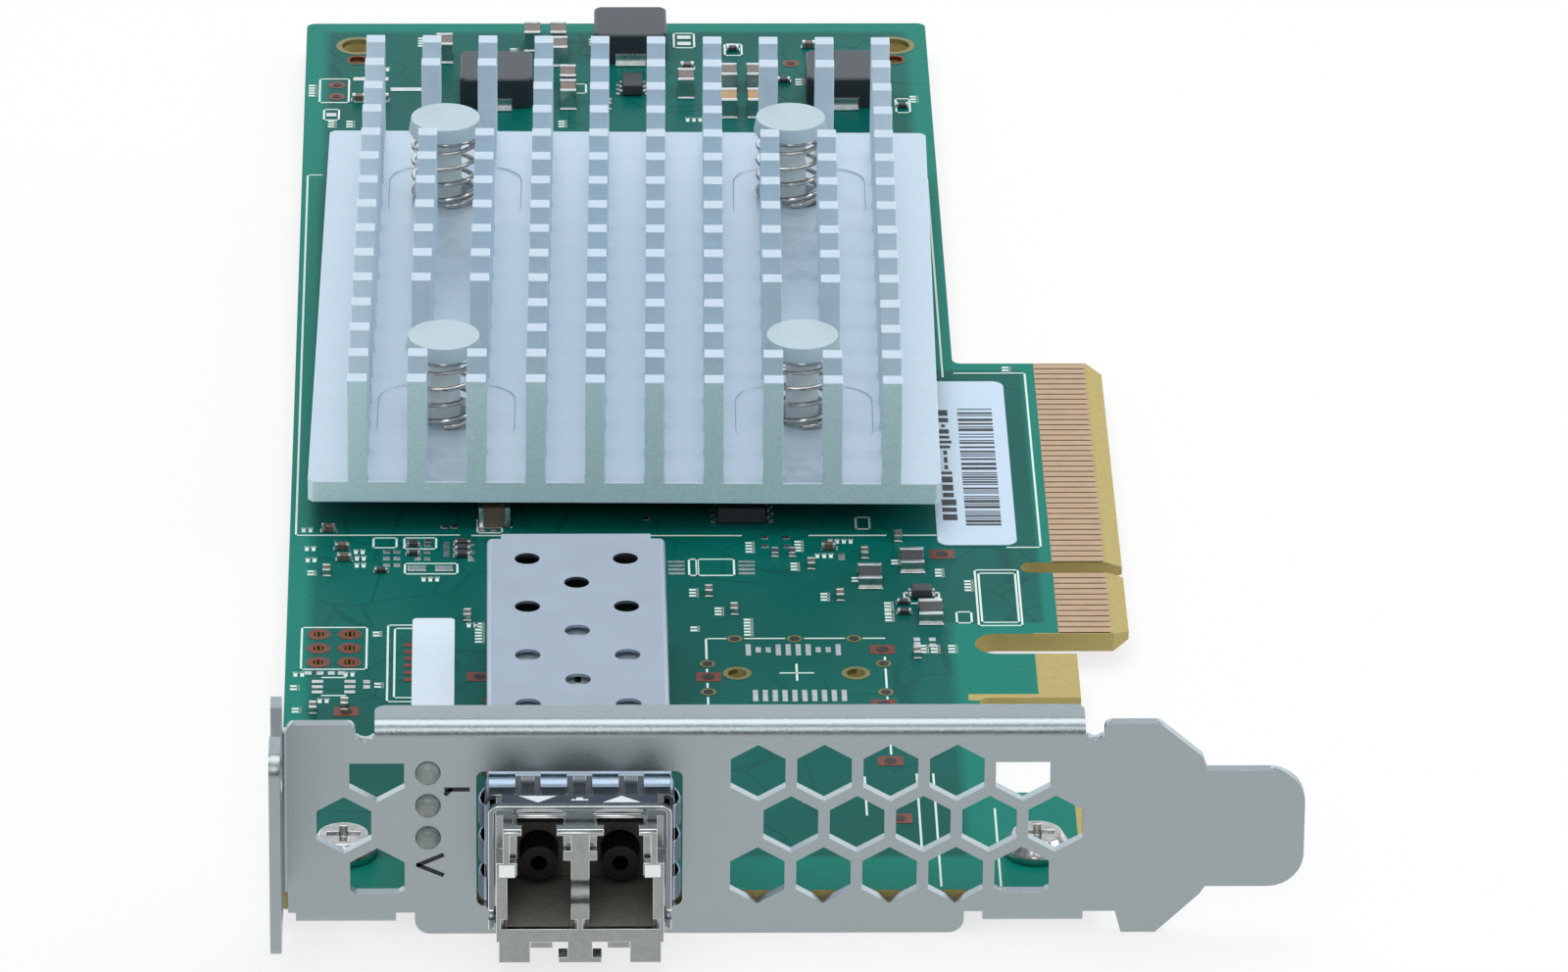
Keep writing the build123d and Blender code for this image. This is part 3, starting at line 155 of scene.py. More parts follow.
def solder_mask():
    """Green epoxy mask: deep over the middle of the board and paler along its edges, partly the tone of
    buried copper planes that stop short of the edges and partly painted light on the edges with painted shade
    over the field, with raised traces under it and bare yellow laminate at the milled edges and the tab's
    tip."""
    made, tree, shader = material("epoxy_solder_mask", IOR=1.5, Specular_IOR_Level=0.05)
    place = add(tree, "TexCoord").outputs["Object"]
    along = add(tree, "SeparateXYZ", inputs={"Vector": place})
    # Copper planes lie under the card and the root of the tab, and none under the lug; the pale border left
    # round them is also painted light, and the deep field painted shade beside the heatsink
    planes = within(tree, along, -66.3, -13.9, -51.5, 109.6, 0.9)
    planes = combine(tree, "MAXIMUM", planes, within(tree, along, -16, -6.6, -10.4, 38.0, 0.4))
    lug = within(tree, along, -13.6, -4.0, -24.5, -11.6, 0.5)
    planes = combine(tree, "MULTIPLY", planes, ramp(tree, lug, 0, 1, 1, 0))
    # Traces: gaps between poured areas show as fine darker lines, and some areas lie a little lower
    cells = add(tree, "TexVoronoi", {"feature": "DISTANCE_TO_EDGE"}, {
        "Vector": place, "Scale": 1 / (6 * MM), "Randomness": 0.8}).outputs["Distance"]
    cloud = grain(tree, 26, 1)
    gap = combine(tree, "MULTIPLY", ramp(tree, cells, 0.01, 0.025, 1.0, 0.0),
                  ramp(tree, cloud, 0.45, 0.5, 0, 1))
    poured = mix(tree, ramp(tree, cloud, 0.4, 0.6, 0, 1), colour("045850"), colour("06635A"))
    etched = mix(tree, combine(tree, "MULTIPLY", gap, 0.35), poured, colour("043A36"))
    # The pale border is painted light; the deep etched field inside is partly painted shade
    mask = mix(tree, planes, colour("067C6C"), etched)
    # No mask past the contact fingers, nor on the strips along the lug and the ear
    tip = ramp(tree, along.outputs["X"], -5.75 * MM, -5.65 * MM, 0, 1)
    strips = combine(tree, "MAXIMUM", within(tree, along, -7.8, 0, -40, -12, 0.1),
                     within(tree, along, -13.4, 0, -24.1, -22.9, 0.1))
    normal = add(tree, "NewGeometry").outputs["Normal"]
    upright = add(tree, "SeparateXYZ", inputs={"Vector": normal}).outputs["Z"]
    edge = ramp(tree, combine(tree, "MULTIPLY", upright, upright), 0.1, 0.3, 1.0, 0.0)
    bare = combine(tree, "MAXIMUM", combine(tree, "MAXIMUM", tip, strips), edge)
    laminate = mix(tree, grain(tree, 0.6, 3, (1, 1, 6)), colour("AE9D62"), colour("C4B478"))
    # Between the fingers the laminate lies in their shade, dark brown
    between = combine(tree, "MULTIPLY", within(tree, along, -5.7, -1.5, -12.1, 39.1, 0.1),
                      ramp(tree, edge, 0, 1, 1, 0))
    laminate = mix(tree, between, laminate, colour("4B3823"))
    link(tree, mix(tree, bare, mask, laminate), shader, "Base Color")
    link(tree, ramp(tree, bare, 0, 1, 0.34, 0.6), shader, "Roughness")
    bump(tree, shader, ramp(tree, gap, 0, 1, 1, 0), 0.015, 0.4)
    return made


def plain(name, code, roughness, spacing_mm, depth_mm, vary=0.12, **surface):
    """A surface of one colour with the small variation and relief of its making."""
    made, tree, shader = material(name, **surface)
    lumps = grain(tree, spacing_mm, 3)
    full = colour(code)
    dark = (*[c * (1 - vary) for c in full[:3]], 1.0)
    light = (*[min(c * (1 + vary), 1) for c in full[:3]], 1.0)
    link(tree, mix(tree, ramp(tree, lumps, 0.3, 0.7, 0, 1), dark, light), shader, "Base Color")
    link(tree, ramp(tree, lumps, 0.3, 0.7, roughness * 0.85, roughness * 1.15), shader, "Roughness")
    bump(tree, shader, lumps, depth_mm)
    return made


# Glossy green mask with faint traces, and the yellow laminate where there is none
board_mask = solder_mask()
# Hard gold over nickel, rubbed a little dull where it has been plugged in
gold = plain("hard_gold_plating", "C2A484", 0.42, 1.2, 0.002, 0.08, Metallic=0.75)
# Rolled steel sheet with a dull nickel plate: an even grey with a fine grain
bracket_steel = plain("nickel_plated_steel_sheet", "9DA7A9", 0.33, 0.16, 0.013, 0.05, Metallic=1.0)
# Tin-plated copper alloy sheet: soft, blue-grey, faintly clouded
cage_tin = plain("tin_plated_cage_sheet", "A4AFBC", 0.42, 3.0, 0.003, 0.05, Metallic=1.0)
# The collar's strip, painted darker and bluer as a painted reflection of the dark room, satin where it has
# been pickled
collar_strip = plain("pickled_spring_strip", "93A2B4", 0.3, 1.0, 0.003, 0.06, Metallic=1.0)
# The bail, the same strip painted darker: a painted reflection of the dark room that it mirrors
bail_strip = plain("dull_spring_strip", "80888C", 0.28, 1.0, 0.002, 0.06, Metallic=1.0)
# The roof of the collar between its springs, darkened as painted shade
shaded_strip = plain("stained_spring_strip", "4A4F54", 0.35, 0.6, 0.003, 0.15, Metallic=1.0)
# Zinc die casting under bright nickel: mirror-like with a slight orange peel
die_casting = plain("nickel_plated_zinc_casting", "949897", 0.22, 0.7, 0.003, 0.08, Metallic=1.0)
# The same nickel painted pale: a painted highlight on the cast edges
polished_casting = plain("rubbed_zinc_casting", "CDD0D0", 0.2, 0.5, 0.002, 0.06, Metallic=1.0)
# A painted highlight: the thin bright line that the eye sees along every plated edge
bright_edge = plain("rubbed_nickel_edge", "EEF1F1", 0.22, 0.5, 0.002, 0.04, Metallic=1.0)
# Machined and clear-anodised aluminium: satin and pale
anodised = plain("clear_anodised_aluminium", "C7D6E2", 0.4, 0.9, 0.003, 0.03, Metallic=0.6)
# The fins' sides and the cuts across them, left duller by the cutter, and painted paler than the tops:
# painted light
milled = plain("milled_anodised_aluminium", "D6E6F0", 0.5, 0.5, 0.003, 0.03, Metallic=0.3)
# The sawn front end, matt, with fine pits, and painted paler still: painted light
sawn = plain("sawn_anodised_aluminium", "D8F5FC", 0.6, 0.25, 0.006, 0.06, Metallic=0.1)
# Zinc-plated steel screws, bright with a little cloud
zinc_screw = plain("bright_zinc_screw_steel", "C2C2BE", 0.2, 0.8, 0.004, 0.12, Metallic=1.0)
# Drawn wire of the coil springs, bright along each turn
spring_wire = plain("drawn_spring_wire", "B4B0AB", 0.2, 0.6, 0.002, 0.15, Metallic=1.0)
# Machined sleeve, painted dark brown: painted shade, so that the port stays dark
dark_sleeve = plain("oxidised_sleeve", "1E1814", 0.5, 0.3, 0.003, 0.2, Metallic=0.3)
# Reflowed solder on pads, leads and chip ends: silvery and uneven
tinned = plain("reflowed_tin_solder", "D2D4D3", 0.3, 0.8, 0.006, 0.1, Metallic=1.0)
# Bare copper pads under an organic film, tarnished to a red brown
osp_copper = plain("tarnished_copper_pad", "7C3F2E", 0.4, 0.4, 0.004, 0.2, Metallic=0.7)
# Thin flash gold round plated holes, an olive yellow against the mask
gold_ring = plain("flash_gold_pad", "7F7B45", 0.4, 0.5, 0.004, 0.15, Metallic=0.6)
# Liquid-crystal polymer, moulded black with a fine sparkle of glass fibre
black_polymer = plain("black_moulded_polymer", "2A2725", 0.55, 0.12, 0.01, 0.3)
# The ports' liner is the same polymer, worn to a sandy grey by dust and plugs
liner_polymer = plain("dusty_moulded_polymer", "7E7A72", 0.65, 0.14, 0.012, 0.3)
# Moulded chips: matt charcoal with a fine grain
moulding_compound = plain("epoxy_moulding_compound", "37383B", 0.5, 0.15, 0.01, 0.2)
# Pressed powder of the inductors: blue-black, satin, fine-grained
ferrite = plain("pressed_ferrite_powder", "2C3339", 0.42, 0.12, 0.01, 0.2)
# Fired ceramic capacitors: smooth grey-brown
brown_ceramic = plain("sintered_brown_ceramic", "6A5A4E", 0.35, 0.5, 0.004, 0.12)
# Tan capacitors: smooth, like caramel
tan_ceramic = plain("tan_moulded_tantalum", "B08A55", 0.45, 0.4, 0.004, 0.12)
# Natural nylon of the push pins' heads: milky, and soft at the edges
nylon = plain("natural_nylon_moulding", "B6C8CF", 0.42, 1.5, 0.004, 0.03,
              Subsurface_Weight=0.6, Subsurface_Radius=(0.005, 0.005, 0.0048))
# The same nylon painted paler for the pins' stems: painted light
thin_nylon = plain("thin_nylon_moulding", "EEF3F0", 0.42, 1.5, 0.004, 0.03,
                   Subsurface_Weight=0.6, Subsurface_Radius=(0.003, 0.003, 0.0028))
# Soft thermal pad: matt grey
silicone = plain("grey_silicone_pad", "8D9196", 0.8, 0.5, 0.02, 0.1)
# Printed lines on the board: matt white ink, a little raised
white_ink = plain("white_epoxy_ink", "DDEFE6", 0.6, 0.3, 0.004, 0.05)
# Coated paper of the short label and the transceiver's: even, cool white
label_paper = plain("coated_label_paper", "DDEAF3", 0.55, 0.5, 0.003, 0.02)
# The long label's paper is thinner and a little bluer
code_paper = plain("thin_label_paper", "C6D9E8", 0.55, 0.5, 0.003, 0.02)
# Bars on the labels, burnt in dark grey
black_print = plain("thermal_transfer_print", "33343A", 0.6, 0.4, 0.001, 0.2)
# Pad print on the bracket: dense satin black
pad_print = plain("black_pad_print", "17181A", 0.55, 0.3, 0.002, 0.2)
# Film strip over the ports: blue-black and smooth, with white marks
strip_print = plain("dark_blue_print_film", "2B3547", 0.35, 0.6, 0.002, 0.15)
mark_white = plain("white_film_mark", "E6EDF2", 0.5, 0.4, 0.001, 0.03)
# Clear polycarbonate, moulded: smooth and slightly grey in its depth
clear_plastic = plain("clear_polycarbonate", "BFC9C5", 0.2, 2.0, 0.003, 0.04,
                      Transmission_Weight=0.55, IOR=1.58)


# Modelling helpers

def deselect():
    bpy.ops.object.select_all(action="DESELECT")


def pick(piece):
    """Make one piece the only one that is selected."""
    deselect()
    piece.select_set(True)
    bpy.context.view_layer.objects.active = piece


def settle(piece):
    """Put a piece's place into its mesh, with its object at the origin."""
    pick(piece)
    bpy.ops.object.transform_apply(location=True, rotation=True, scale=True)
    return piece


def joined(parts, name):
    """Several pieces as one mesh."""
    deselect()
    for part in parts:
        part.select_set(True)
    bpy.context.view_layer.objects.active = parts[0]
    if len(parts) > 1:
        bpy.ops.object.join()
    piece = bpy.context.view_layer.objects.active
    piece.name = name
    piece.data.name = name
    return piece


def block(centre, size, bevel=0.0, segments=1):
    """A block with its edges rounded, in millimetres."""
    deselect()
    bpy.ops.mesh.primitive_cube_add(size=1, location=Vector(centre) * MM, scale=Vector(size) * MM)
    piece = settle(bpy.context.object)
    if bevel:
        soften(piece, bevel, segments)
    return piece


def cylinder(centre, radius, depth, vertices, rotation=(0, 0, 0)):
    """A cylinder in millimetres, upright unless it is turned."""
    deselect()
    bpy.ops.mesh.primitive_cylinder_add(
        vertices=vertices, radius=radius * MM, depth=depth * MM, location=Vector(centre) * MM,
        rotation=rotation)
    return settle(bpy.context.object)


def soften(piece, width, segments=2, angle=30, slot=-1):
    """Round the sharp edges of a piece, the width in millimetres, its new faces in a material slot."""
    pick(piece)
    edge = piece.modifiers.new("edges", "BEVEL")
    edge.width = width * MM
    edge.segments = segments
    edge.limit_method = "ANGLE"
    edge.angle_limit = radians(angle)
    edge.material = slot
    bpy.ops.object.modifier_apply(modifier=edge.name)


def at(x, y, z=0.0, turn=0.0):
    """A place on the card in millimetres, turned about the upright axis in degrees."""
    return Matrix.Translation(Vector((x, y, z)) * MM) @ Matrix.Rotation(radians(turn), 4, "Z")


def dress(piece, *surfaces):
    """Give a piece its materials, one for each slot."""
    piece.data.materials.clear()
    for surface in surfaces:
        piece.data.materials.append(surface)


def finish_piece(piece, surface, body=CARD, replaces=(), smooth=True):
    """Give a piece its material, unless it has its own, its body and the nodes that it stands for."""
    if surface:
        dress(piece, surface)
    if smooth:
        pick(piece)
        bpy.ops.object.shade_smooth_by_angle(angle=radians(32))
        # Large flat faces keep their own normals, and only the rounded edges turn
        level = piece.modifiers.new("level", "WEIGHTED_NORMAL")
        level.keep_sharp = True
        bpy.ops.object.modifier_apply(modifier=level.name)
    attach(piece, body)
    if replaces:
        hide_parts(*replaces)
    return piece


def merged(node, name):
    """A copy of a node with its loose triangles merged into whole faces."""
    piece = bpy.data.objects.new(name, nodes[node].data.copy())
    scene.collection.objects.link(piece)
    pick(piece)
    bpy.ops.object.mode_set(mode="EDIT")
    bpy.ops.mesh.select_all(action="SELECT")
    bpy.ops.mesh.remove_doubles(threshold=0.002 * MM)
    bpy.ops.mesh.dissolve_limited(angle_limit=radians(0.5))
    bpy.ops.object.mode_set(mode="OBJECT")
    return piece


def refined(node, name, surface, width, segments=2, edges=None):
    """A node's merged copy with its edges softened, in their own finish if they have one."""
    piece = merged(node, name)
    if edges:
        dress(piece, surface, edges)
    if width:
        soften(piece, width, segments, slot=1 if edges else -1)
    return finish_piece(piece, None if edges else surface, replaces=(node,))


def gather(piece, low, high, scale, centre):
    """Draw together the vertices of a piece that lie in a box, about a centre, all in millimetres."""
    for vertex in piece.data.vertices:
        if all(a <= c / MM <= b for a, c, b in zip(low, vertex.co, high)):
            for i in range(3):
                vertex.co[i] = (centre[i] + (vertex.co[i] / MM - centre[i]) * scale[i]) * MM


def paint(node, surface):
    """A node that keeps its own mesh and gets a better material."""
    dress(nodes[node], surface)


def islands(node):
    """Centre and size in millimetres of each separate solid of a node.

    Vertices in one place count as one, and each face ties its corners into one group."""
    mesh = nodes[node].data
    owner = list(range(len(mesh.vertices)))
    seen = {}
    for vertex in mesh.vertices:
        key = tuple(round(c / (0.002 * MM)) for c in vertex.co)
        owner[vertex.index] = seen.setdefault(key, vertex.index)
    root = list(range(len(mesh.vertices)))

    def find(i):
        while root[i] != i:
            root[i] = root[root[i]]
            i = root[i]
        return i

    for polygon in mesh.polygons:
        corners = [find(owner[v]) for v in polygon.vertices]
        for corner in corners[1:]:
            root[corner] = corners[0]
    groups = {}
    for vertex in mesh.vertices:
        groups.setdefault(find(owner[vertex.index]), []).append(vertex.co)
    boxes = []
    for points in groups.values():
        low = [min(p[i] for p in points) / MM for i in range(3)]
        high = [max(p[i] for p in points) / MM for i in range(3)]
        boxes.append(([(a + b) / 2 for a, b in zip(low, high)], [b - a for a, b in zip(low, high)]))
    return boxes


# Sheet metal, castings and hardware

# The bracket's and the casting's rounded edges carry the painted edge highlight
refined("bracket", "bracket_sheet", bracket_steel, 0.15, 2, edges=bright_edge)
refined("sfp_cage", "cage_sheet", cage_tin, 0.05, 1)
refined("transceiver_housing", "transceiver_casting", die_casting, 0.09, 2, edges=bright_edge)
refined("bracket_screws", "pan_head_screws", zinc_screw, 0.08, 2)
refined("port_liners", "receptacle_liners", liner_polymer, 0.03, 1)
refined("light_guide", "light_guide_moulding", clear_plastic, 0.05, 1)
refined("circuit_board", "laminate_board", board_mask, 0.0)
paint("contact_fingers", gold)
paint("host_connector", black_polymer)
paint("transceiver_cover", bracket_steel)
paint("transceiver_board", board_mask)
paint("driver_chip", moulding_compound)
# The barrels carry painted shade, as dark as the inside of the port
paint("transmitter_barrel", dark_sleeve)
paint("receiver_barrel", dark_sleeve)
paint("port_mark_strip", strip_print)
paint("status_leds", nylon)
paint("thermal_pad", silicone)
paint("controller_chip", moulding_compound)


# Heatsink, a little askew on its four pins as the photograph shows it

def skewed_sink(askew=-0.8, hole_reach=1.6, hole_growth=1.55, front_depth=0.3):
    """The heatsink turned about the middle of its front edge, its pin holes opened to allow it.

    Its upright faces are duller than its tops, and those of the sawn front end are matt; both are painted
    paler than the tops, as painted light."""
    piece = merged("heatsink", "pin_fin_heatsink")
    low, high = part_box("heatsink")
    for (x, y, _), _ in islands("push_pin_springs"):
        gather(piece, (x - hole_reach, y - hole_reach, 0), (x + hole_reach, y + hole_reach, 20),
               (hole_growth, hole_growth, 1), (x, y, 0))
    soften(piece, 0.1, 1)
    dress(piece, anodised, milled, sawn)
    # Each face that stands upright takes a paler, painted-light material, picked by the way that it points
    for face in piece.data.polygons:
        if abs(face.normal[2]) < 0.3:
            face.material_index = 2 if face.center[1] < low[1] + front_depth * MM else 1
    front = Matrix.Translation(((low[0] + high[0]) / 2, low[1], 0))
    piece.data.transform(front @ Matrix.Rotation(radians(askew), 4, "Z") @ front.inverted())
    return finish_piece(piece, None, replaces=("heatsink",), smooth=False)


skewed_sink()


# The transceiver's mouth: sprung collar, bail, and what stands between and round the ports

def ribbon(centre_x, width, profile, thick):
    """A strip bent along a profile of y and z points, in millimetres."""
    deselect()
    bpy.ops.mesh.primitive_grid_add(x_subdivisions=2, y_subdivisions=len(profile) - 1, size=1)
    piece = settle(bpy.context.object)
    for vertex in piece.data.vertices:
        y, z = profile[round((vertex.co[1] + 0.5) * (len(profile) - 1))]
        vertex.co = Vector((centre_x + vertex.co[0] * width, y, z)) * MM
    pick(piece)
    wall = piece.modifiers.new("wall", "SOLIDIFY")
    wall.thickness = thick * MM
    wall.offset = -1
    bpy.ops.object.modifier_apply(modifier=wall.name)
    return piece


BOW_PROFILE = (
    (-58.66, 9.98), (-58.56, 10.1), (-58.4, 10.22), (-58.15, 10.38), (-57.9, 10.5),
    (-57.6, 10.57), (-57.2, 10.56), (-56.9, 10.4), (-56.7, 10.1))


def spring_collar(roof=9.96, pitch=3.95, bow_width=2.1, tongue_width=1.0, stained_reach=7.0):
    """The collar, its four roof springs rolled up to the edge of the bracket's opening.

    The node's own springs are pressed flat and drawn back, and a rolled bow stands over each;
    the three tongues between them are drawn back too."""
    piece = merged("cage_spring_collar", "collar_springs")
    low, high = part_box("cage_spring_collar")
    middle = (low[0] + high[0]) / 2 / MM
    rear = high[1] / MM
    bows = []
    for i in (-1.5, -0.5, 0.5, 1.5):
        x = middle + i * pitch
        gather(piece, (x - 1.0, -70, roof), (x + 1.0, -50, 20), (1, 0.5, 0.1), (x, rear, roof))
        bows.append(ribbon(x, bow_width, BOW_PROFILE, 0.15))
        soften(bows[-1], 0.04, 1)
    for i in (-1, 0, 1):
        x = middle + i * pitch
        reach = tongue_width / 2
        gather(piece, (x - reach, -70, roof), (x + reach, -50, 20), (1, 0.78, 1), (x, rear, roof))
    # The collar's roof takes the painted shade; its sides take the strip with its painted reflection
    dress(piece, shaded_strip, bright_edge, collar_strip)
    # The softened edges take the painted edge highlight
    soften(piece, 0.035, 1, slot=1)
    # Only the roof between the bows lies in shade; the band's sides are as pale as the bows
    for face in piece.data.polygons:
        if face.material_index == 0 and abs(face.center[0] / MM - middle) > stained_reach:
            face.material_index = 2
    finish_piece(piece, None, replaces=("cage_spring_collar",))
    # The bows in the strip's darker, bluer painted reflection
    return finish_piece(joined(bows, "collar_bows"), collar_strip)


spring_collar()


def bail_hoop(bar_height=1.4, bar_back=-62.77):
    """The bail, its bar drawn thin where it crosses in front of the port marks."""
    piece = merged("bail_latch", "bail_hoop")
    _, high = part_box("bail_latch")
    top = high[2] / MM
    gather(piece, (-60, -70, top - bar_height), (-30, -50, 20), (1, 0.68, 0.72), (0, bar_back, top))
    # The bail takes the darker strip, a painted reflection
    dress(piece, bail_strip, bright_edge)
    # The bail's softened edges take the painted edge highlight
    soften(piece, 0.06, 2, slot=1)
    return finish_piece(piece, None, BAIL, ("bail_latch",))


bail_hoop()


def port_lips(port_x=2.87, lip_width=3.85):
    """Rounded front edges of the top plate over each port, and the round boss between them."""
    parts = []
    for side in (-1, 1):
        parts.append(cylinder((NOSE_X + side * port_x, -62.95, 9.72), 0.2, lip_width, 20, (0, pi / 2, 0)))
        soften(parts[-1], 0.1, 2)
    parts.append(cylinder((NOSE_X, -62.75, 9.25), 0.94, 1.2, 40))
    soften(parts[-1], 0.16, 3)
    # The lips and the boss are painted pale: a painted highlight
    return finish_piece(joined(parts, "port_lips"), polished_casting)


def swelling(centre, size, swell, lean):
    """A patch of the nose's front that swells forward as it goes down, in millimetres: in a straight
    lean, or in a curve that starts and ends upright."""
    deselect()
    bpy.ops.mesh.primitive_cube_add(size=1, location=Vector(centre) * MM, scale=Vector(size) * MM)
    piece = settle(bpy.context.object)
    bpy.ops.object.mode_set(mode="EDIT")
    bpy.ops.mesh.select_all(action="SELECT")
    bpy.ops.mesh.subdivide(number_cuts=11)
    bpy.ops.object.mode_set(mode="OBJECT")
    front = centre[1] - size[1] / 2
    for vertex in piece.data.vertices:
        if vertex.co[1] / MM < front + 0.01:  # on the front face
            fall = 0.5 + (centre[2] - vertex.co[2] / MM) / size[2]
            share = fall if lean else fall * fall * (3 - 2 * fall)
            vertex.co[1] -= swell * share * MM
    return piece


def nose_swellings(front=-65.6, post_x=5.55):
    """The curved foot of the divider, and the leaning blocks half way up the outer posts."""
    parts = [swelling((NOSE_X, front, 4.85), (1.4, 0.24, 2.3), 0.8, False)]
    for side in (-1, 1):
        parts.append(swelling((NOSE_X + side * post_x, front, 6.55), (1.3, 0.24, 0.86), 0.55, True))
        soften(parts[-1], 0.1, 3, 40)
    return finish_piece(joined(parts, "nose_swellings"), die_casting)


port_lips()
nose_swellings()


# Push pins, and the coil springs under their heads

def domed_pins(draw_in=0.93, head_height=1.4):
    """The push pins, the tops of their heads drawn in a little and rounded over."""
    piece = merged("push_pins", "push_pin_mouldings")
    _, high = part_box("push_pins")
    top = high[2] / MM
    for (x, y, _), _ in islands("push_pins"):
        gather(piece, (x - 5, y - 5, top - 0.1), (x + 5, y + 5, top + 0.1),
               (draw_in, draw_in, 1), (x, y, top))
    soften(piece, 0.4, 4)
    dress(piece, nylon, thin_nylon)
    # Below the heads the stems take the paler nylon: painted light
    for face in piece.data.polygons:
        if face.center[2] / MM < top - head_height:
            face.material_index = 1
    return finish_piece(piece, None, replaces=("push_pins",))


domed_pins()


def coil_springs(turns=5.4, wire=0.21, wider=0.6, steps=120):
    """Round wire wound on a helix, closed at both ends, one for each push pin."""
    parts = []
    for centre, size in islands("push_pin_springs"):
        radius = (size[0] - 2 * wire) / 2 + wider
        low = centre[2] - size[2] / 2 + wire
        high = centre[2] + size[2] / 2 - wire
        curve = bpy.data.curves.new("wire", "CURVE")
        curve.dimensions = "3D"
        spline = curve.splines.new("POLY")
        spline.points.add(steps)
        for i, point in enumerate(spline.points):
            share = i / steps
            angle = 2 * pi * turns * share - pi / 2
            # The turn at each end lies almost flat, a wire's thickness from the next
            flat = 2 * wire * min(share / 0.2, 1)
            rise = (high - low - 2 * wire) * min(max((share - 0.16) / 0.7, 0), 1)
            point.co = (
                (centre[0] + radius * cos(angle)) * MM,
                (centre[1] + radius * sin(angle)) * MM,
                (low + flat + rise) * MM, 1)
        curve.bevel_depth = wire * MM
        curve.bevel_resolution = 3
        curve.use_fill_caps = True
        piece = bpy.data.objects.new("coil", curve)
        scene.collection.objects.link(piece)
        pick(piece)
        bpy.ops.object.convert(target="MESH")
        parts.append(bpy.context.object)
    return finish_piece(joined(parts, "coil_springs"), spring_wire, replaces=("push_pin_springs",))


coil_springs()


# Small parts with their metal ends

def end_capped(node, name, body_surface, cap, fillet_out=0.18, fillet_height=0.12):
    """Chips with a body between two tinned ends, and a solder fillet at the foot of each end."""
    bodies = []
    ends = []
    for (x, y, z), (wide, deep, tall) in islands(node):
        along_y = deep >= wide
        length, width = (deep, wide) if along_y else (wide, deep)
        turn = 90 if along_y else 0
        up = 1 if z > 0 else -1  # -1 on the solder side
        base = z - up * tall / 2
        middle = block((0, 0, 0), (length - 2 * cap, width * 0.94, tall * 0.95), 0.05)
        middle.data.transform(at(x, y, z, turn))
        bodies.append(middle)
        for side in (-1, 1):
            metal = block((side * (length - cap) / 2, 0, 0), (cap, width, tall), 0.06, 2)
            metal.data.transform(at(x, y, z, turn))
            ends.append(metal)
            foot = block((side * (length / 2 + fillet_out / 2 - 0.02), 0, 0),
                         (fillet_out, width * 1.05, fillet_height), 0.05)
            foot.data.transform(at(x, y, base + up * fillet_height / 2, turn))
            ends.append(foot)
    finish_piece(joined(bodies, name), body_surface, replaces=(node,))
    finish_piece(joined(ends, name + "_ends"), tinned)


end_capped("ceramic_capacitors", "multilayer_capacitors", brown_ceramic, 0.45)
end_capped("tantalum_capacitors", "tantalum_bodies", tan_ceramic, 0.5)
end_capped("small_capacitors", "small_chip_capacitors", brown_ceramic, 0.3, 0.12)
end_capped("chip_resistors", "small_chip_resistors", moulding_compound, 0.22, 0.12)
end_capped("resistor_pack", "resistor_row", moulding_compound, 0.28, 0.12)
end_capped("coupling_capacitors", "coupling_chips", brown_ceramic, 0.28, 0.12)
end_capped("bypass_capacitors", "bypass_chips", brown_ceramic, 0.3, 0.12)
end_capped("fuses", "surface_fuses", moulding_compound, 0.5, 0.3)

for inductor in INDUCTORS:
    refined(inductor, inductor.replace("power_", "") + "_block", ferrite, 0.08, 2)


# Each bend of a gull-wing lead: inner and outer end from the chip's side, low and high
LEAD_BENDS = ((0.55, 0.35, 0.3, 0.42), (0.42, 0.32, 0.0, 0.42), (0.4, 0.0, 0.0, 0.12))


def leaded(node, name, pins, pitch, lead_width, reach=0.6):
    """A moulded chip over bent gull-wing leads on its two long sides."""
    (x, y, z), (wide, deep, tall) = islands(node)[0]
    body = block((x, y, z + 0.05), (wide - 2 * reach, deep, tall - 0.15), 0.1, 2)
    finish_piece(body, moulding_compound, replaces=(node,))
    body.name = name
    leads = []
    for side in (-1, 1):
        for i in range(pins):
            offset = (i - (pins - 1) / 2) * pitch
            for inner, outer, low, high in LEAD_BENDS:
                middle = side * (wide / 2 - (inner + outer) / 2)
                leads.append(block((x + middle, y + offset, (low + high) / 2),
                                   (abs(inner - outer), lead_width, high - low), 0.02))
    finish_piece(joined(leads, name + "_leads"), tinned)


leaded("memory_chip", "memory_body", 4, 1.27, 0.42)
leaded("regulator_chip", "regulator_body", 3, 0.95, 0.4)
leaded("transistor", "transistor_body", 2, 0.9, 0.35)


# Printed lines, pads and rings on the board's face

INK_TOP = 0.03
LINE = 0.17


def stroke(start, end):
    """A straight printed line from one point of the board to another."""
    run = Vector((*end, 0)) - Vector((*start, 0))
    middle = (Vector((*start, 0)) + Vector((*end, 0))) / 2
    piece = block((0, 0, 0), (run.length + LINE, LINE, INK_TOP))
    turn = Matrix.Rotation(run.to_2d().angle_signed(Vector((1, 0))), 4, "Z")
    piece.data.transform(Matrix.Translation((middle + Vector((0, 0, INK_TOP / 2))) * MM) @ turn)
    return piece


def frame_lines(left, right, front, rear):
    """The four printed lines of a box."""
    corners = [(left, front), (right, front), (right, rear), (left, rear)]
    return [stroke(a, b) for a, b in zip(corners, corners[1:] + corners[:1])]


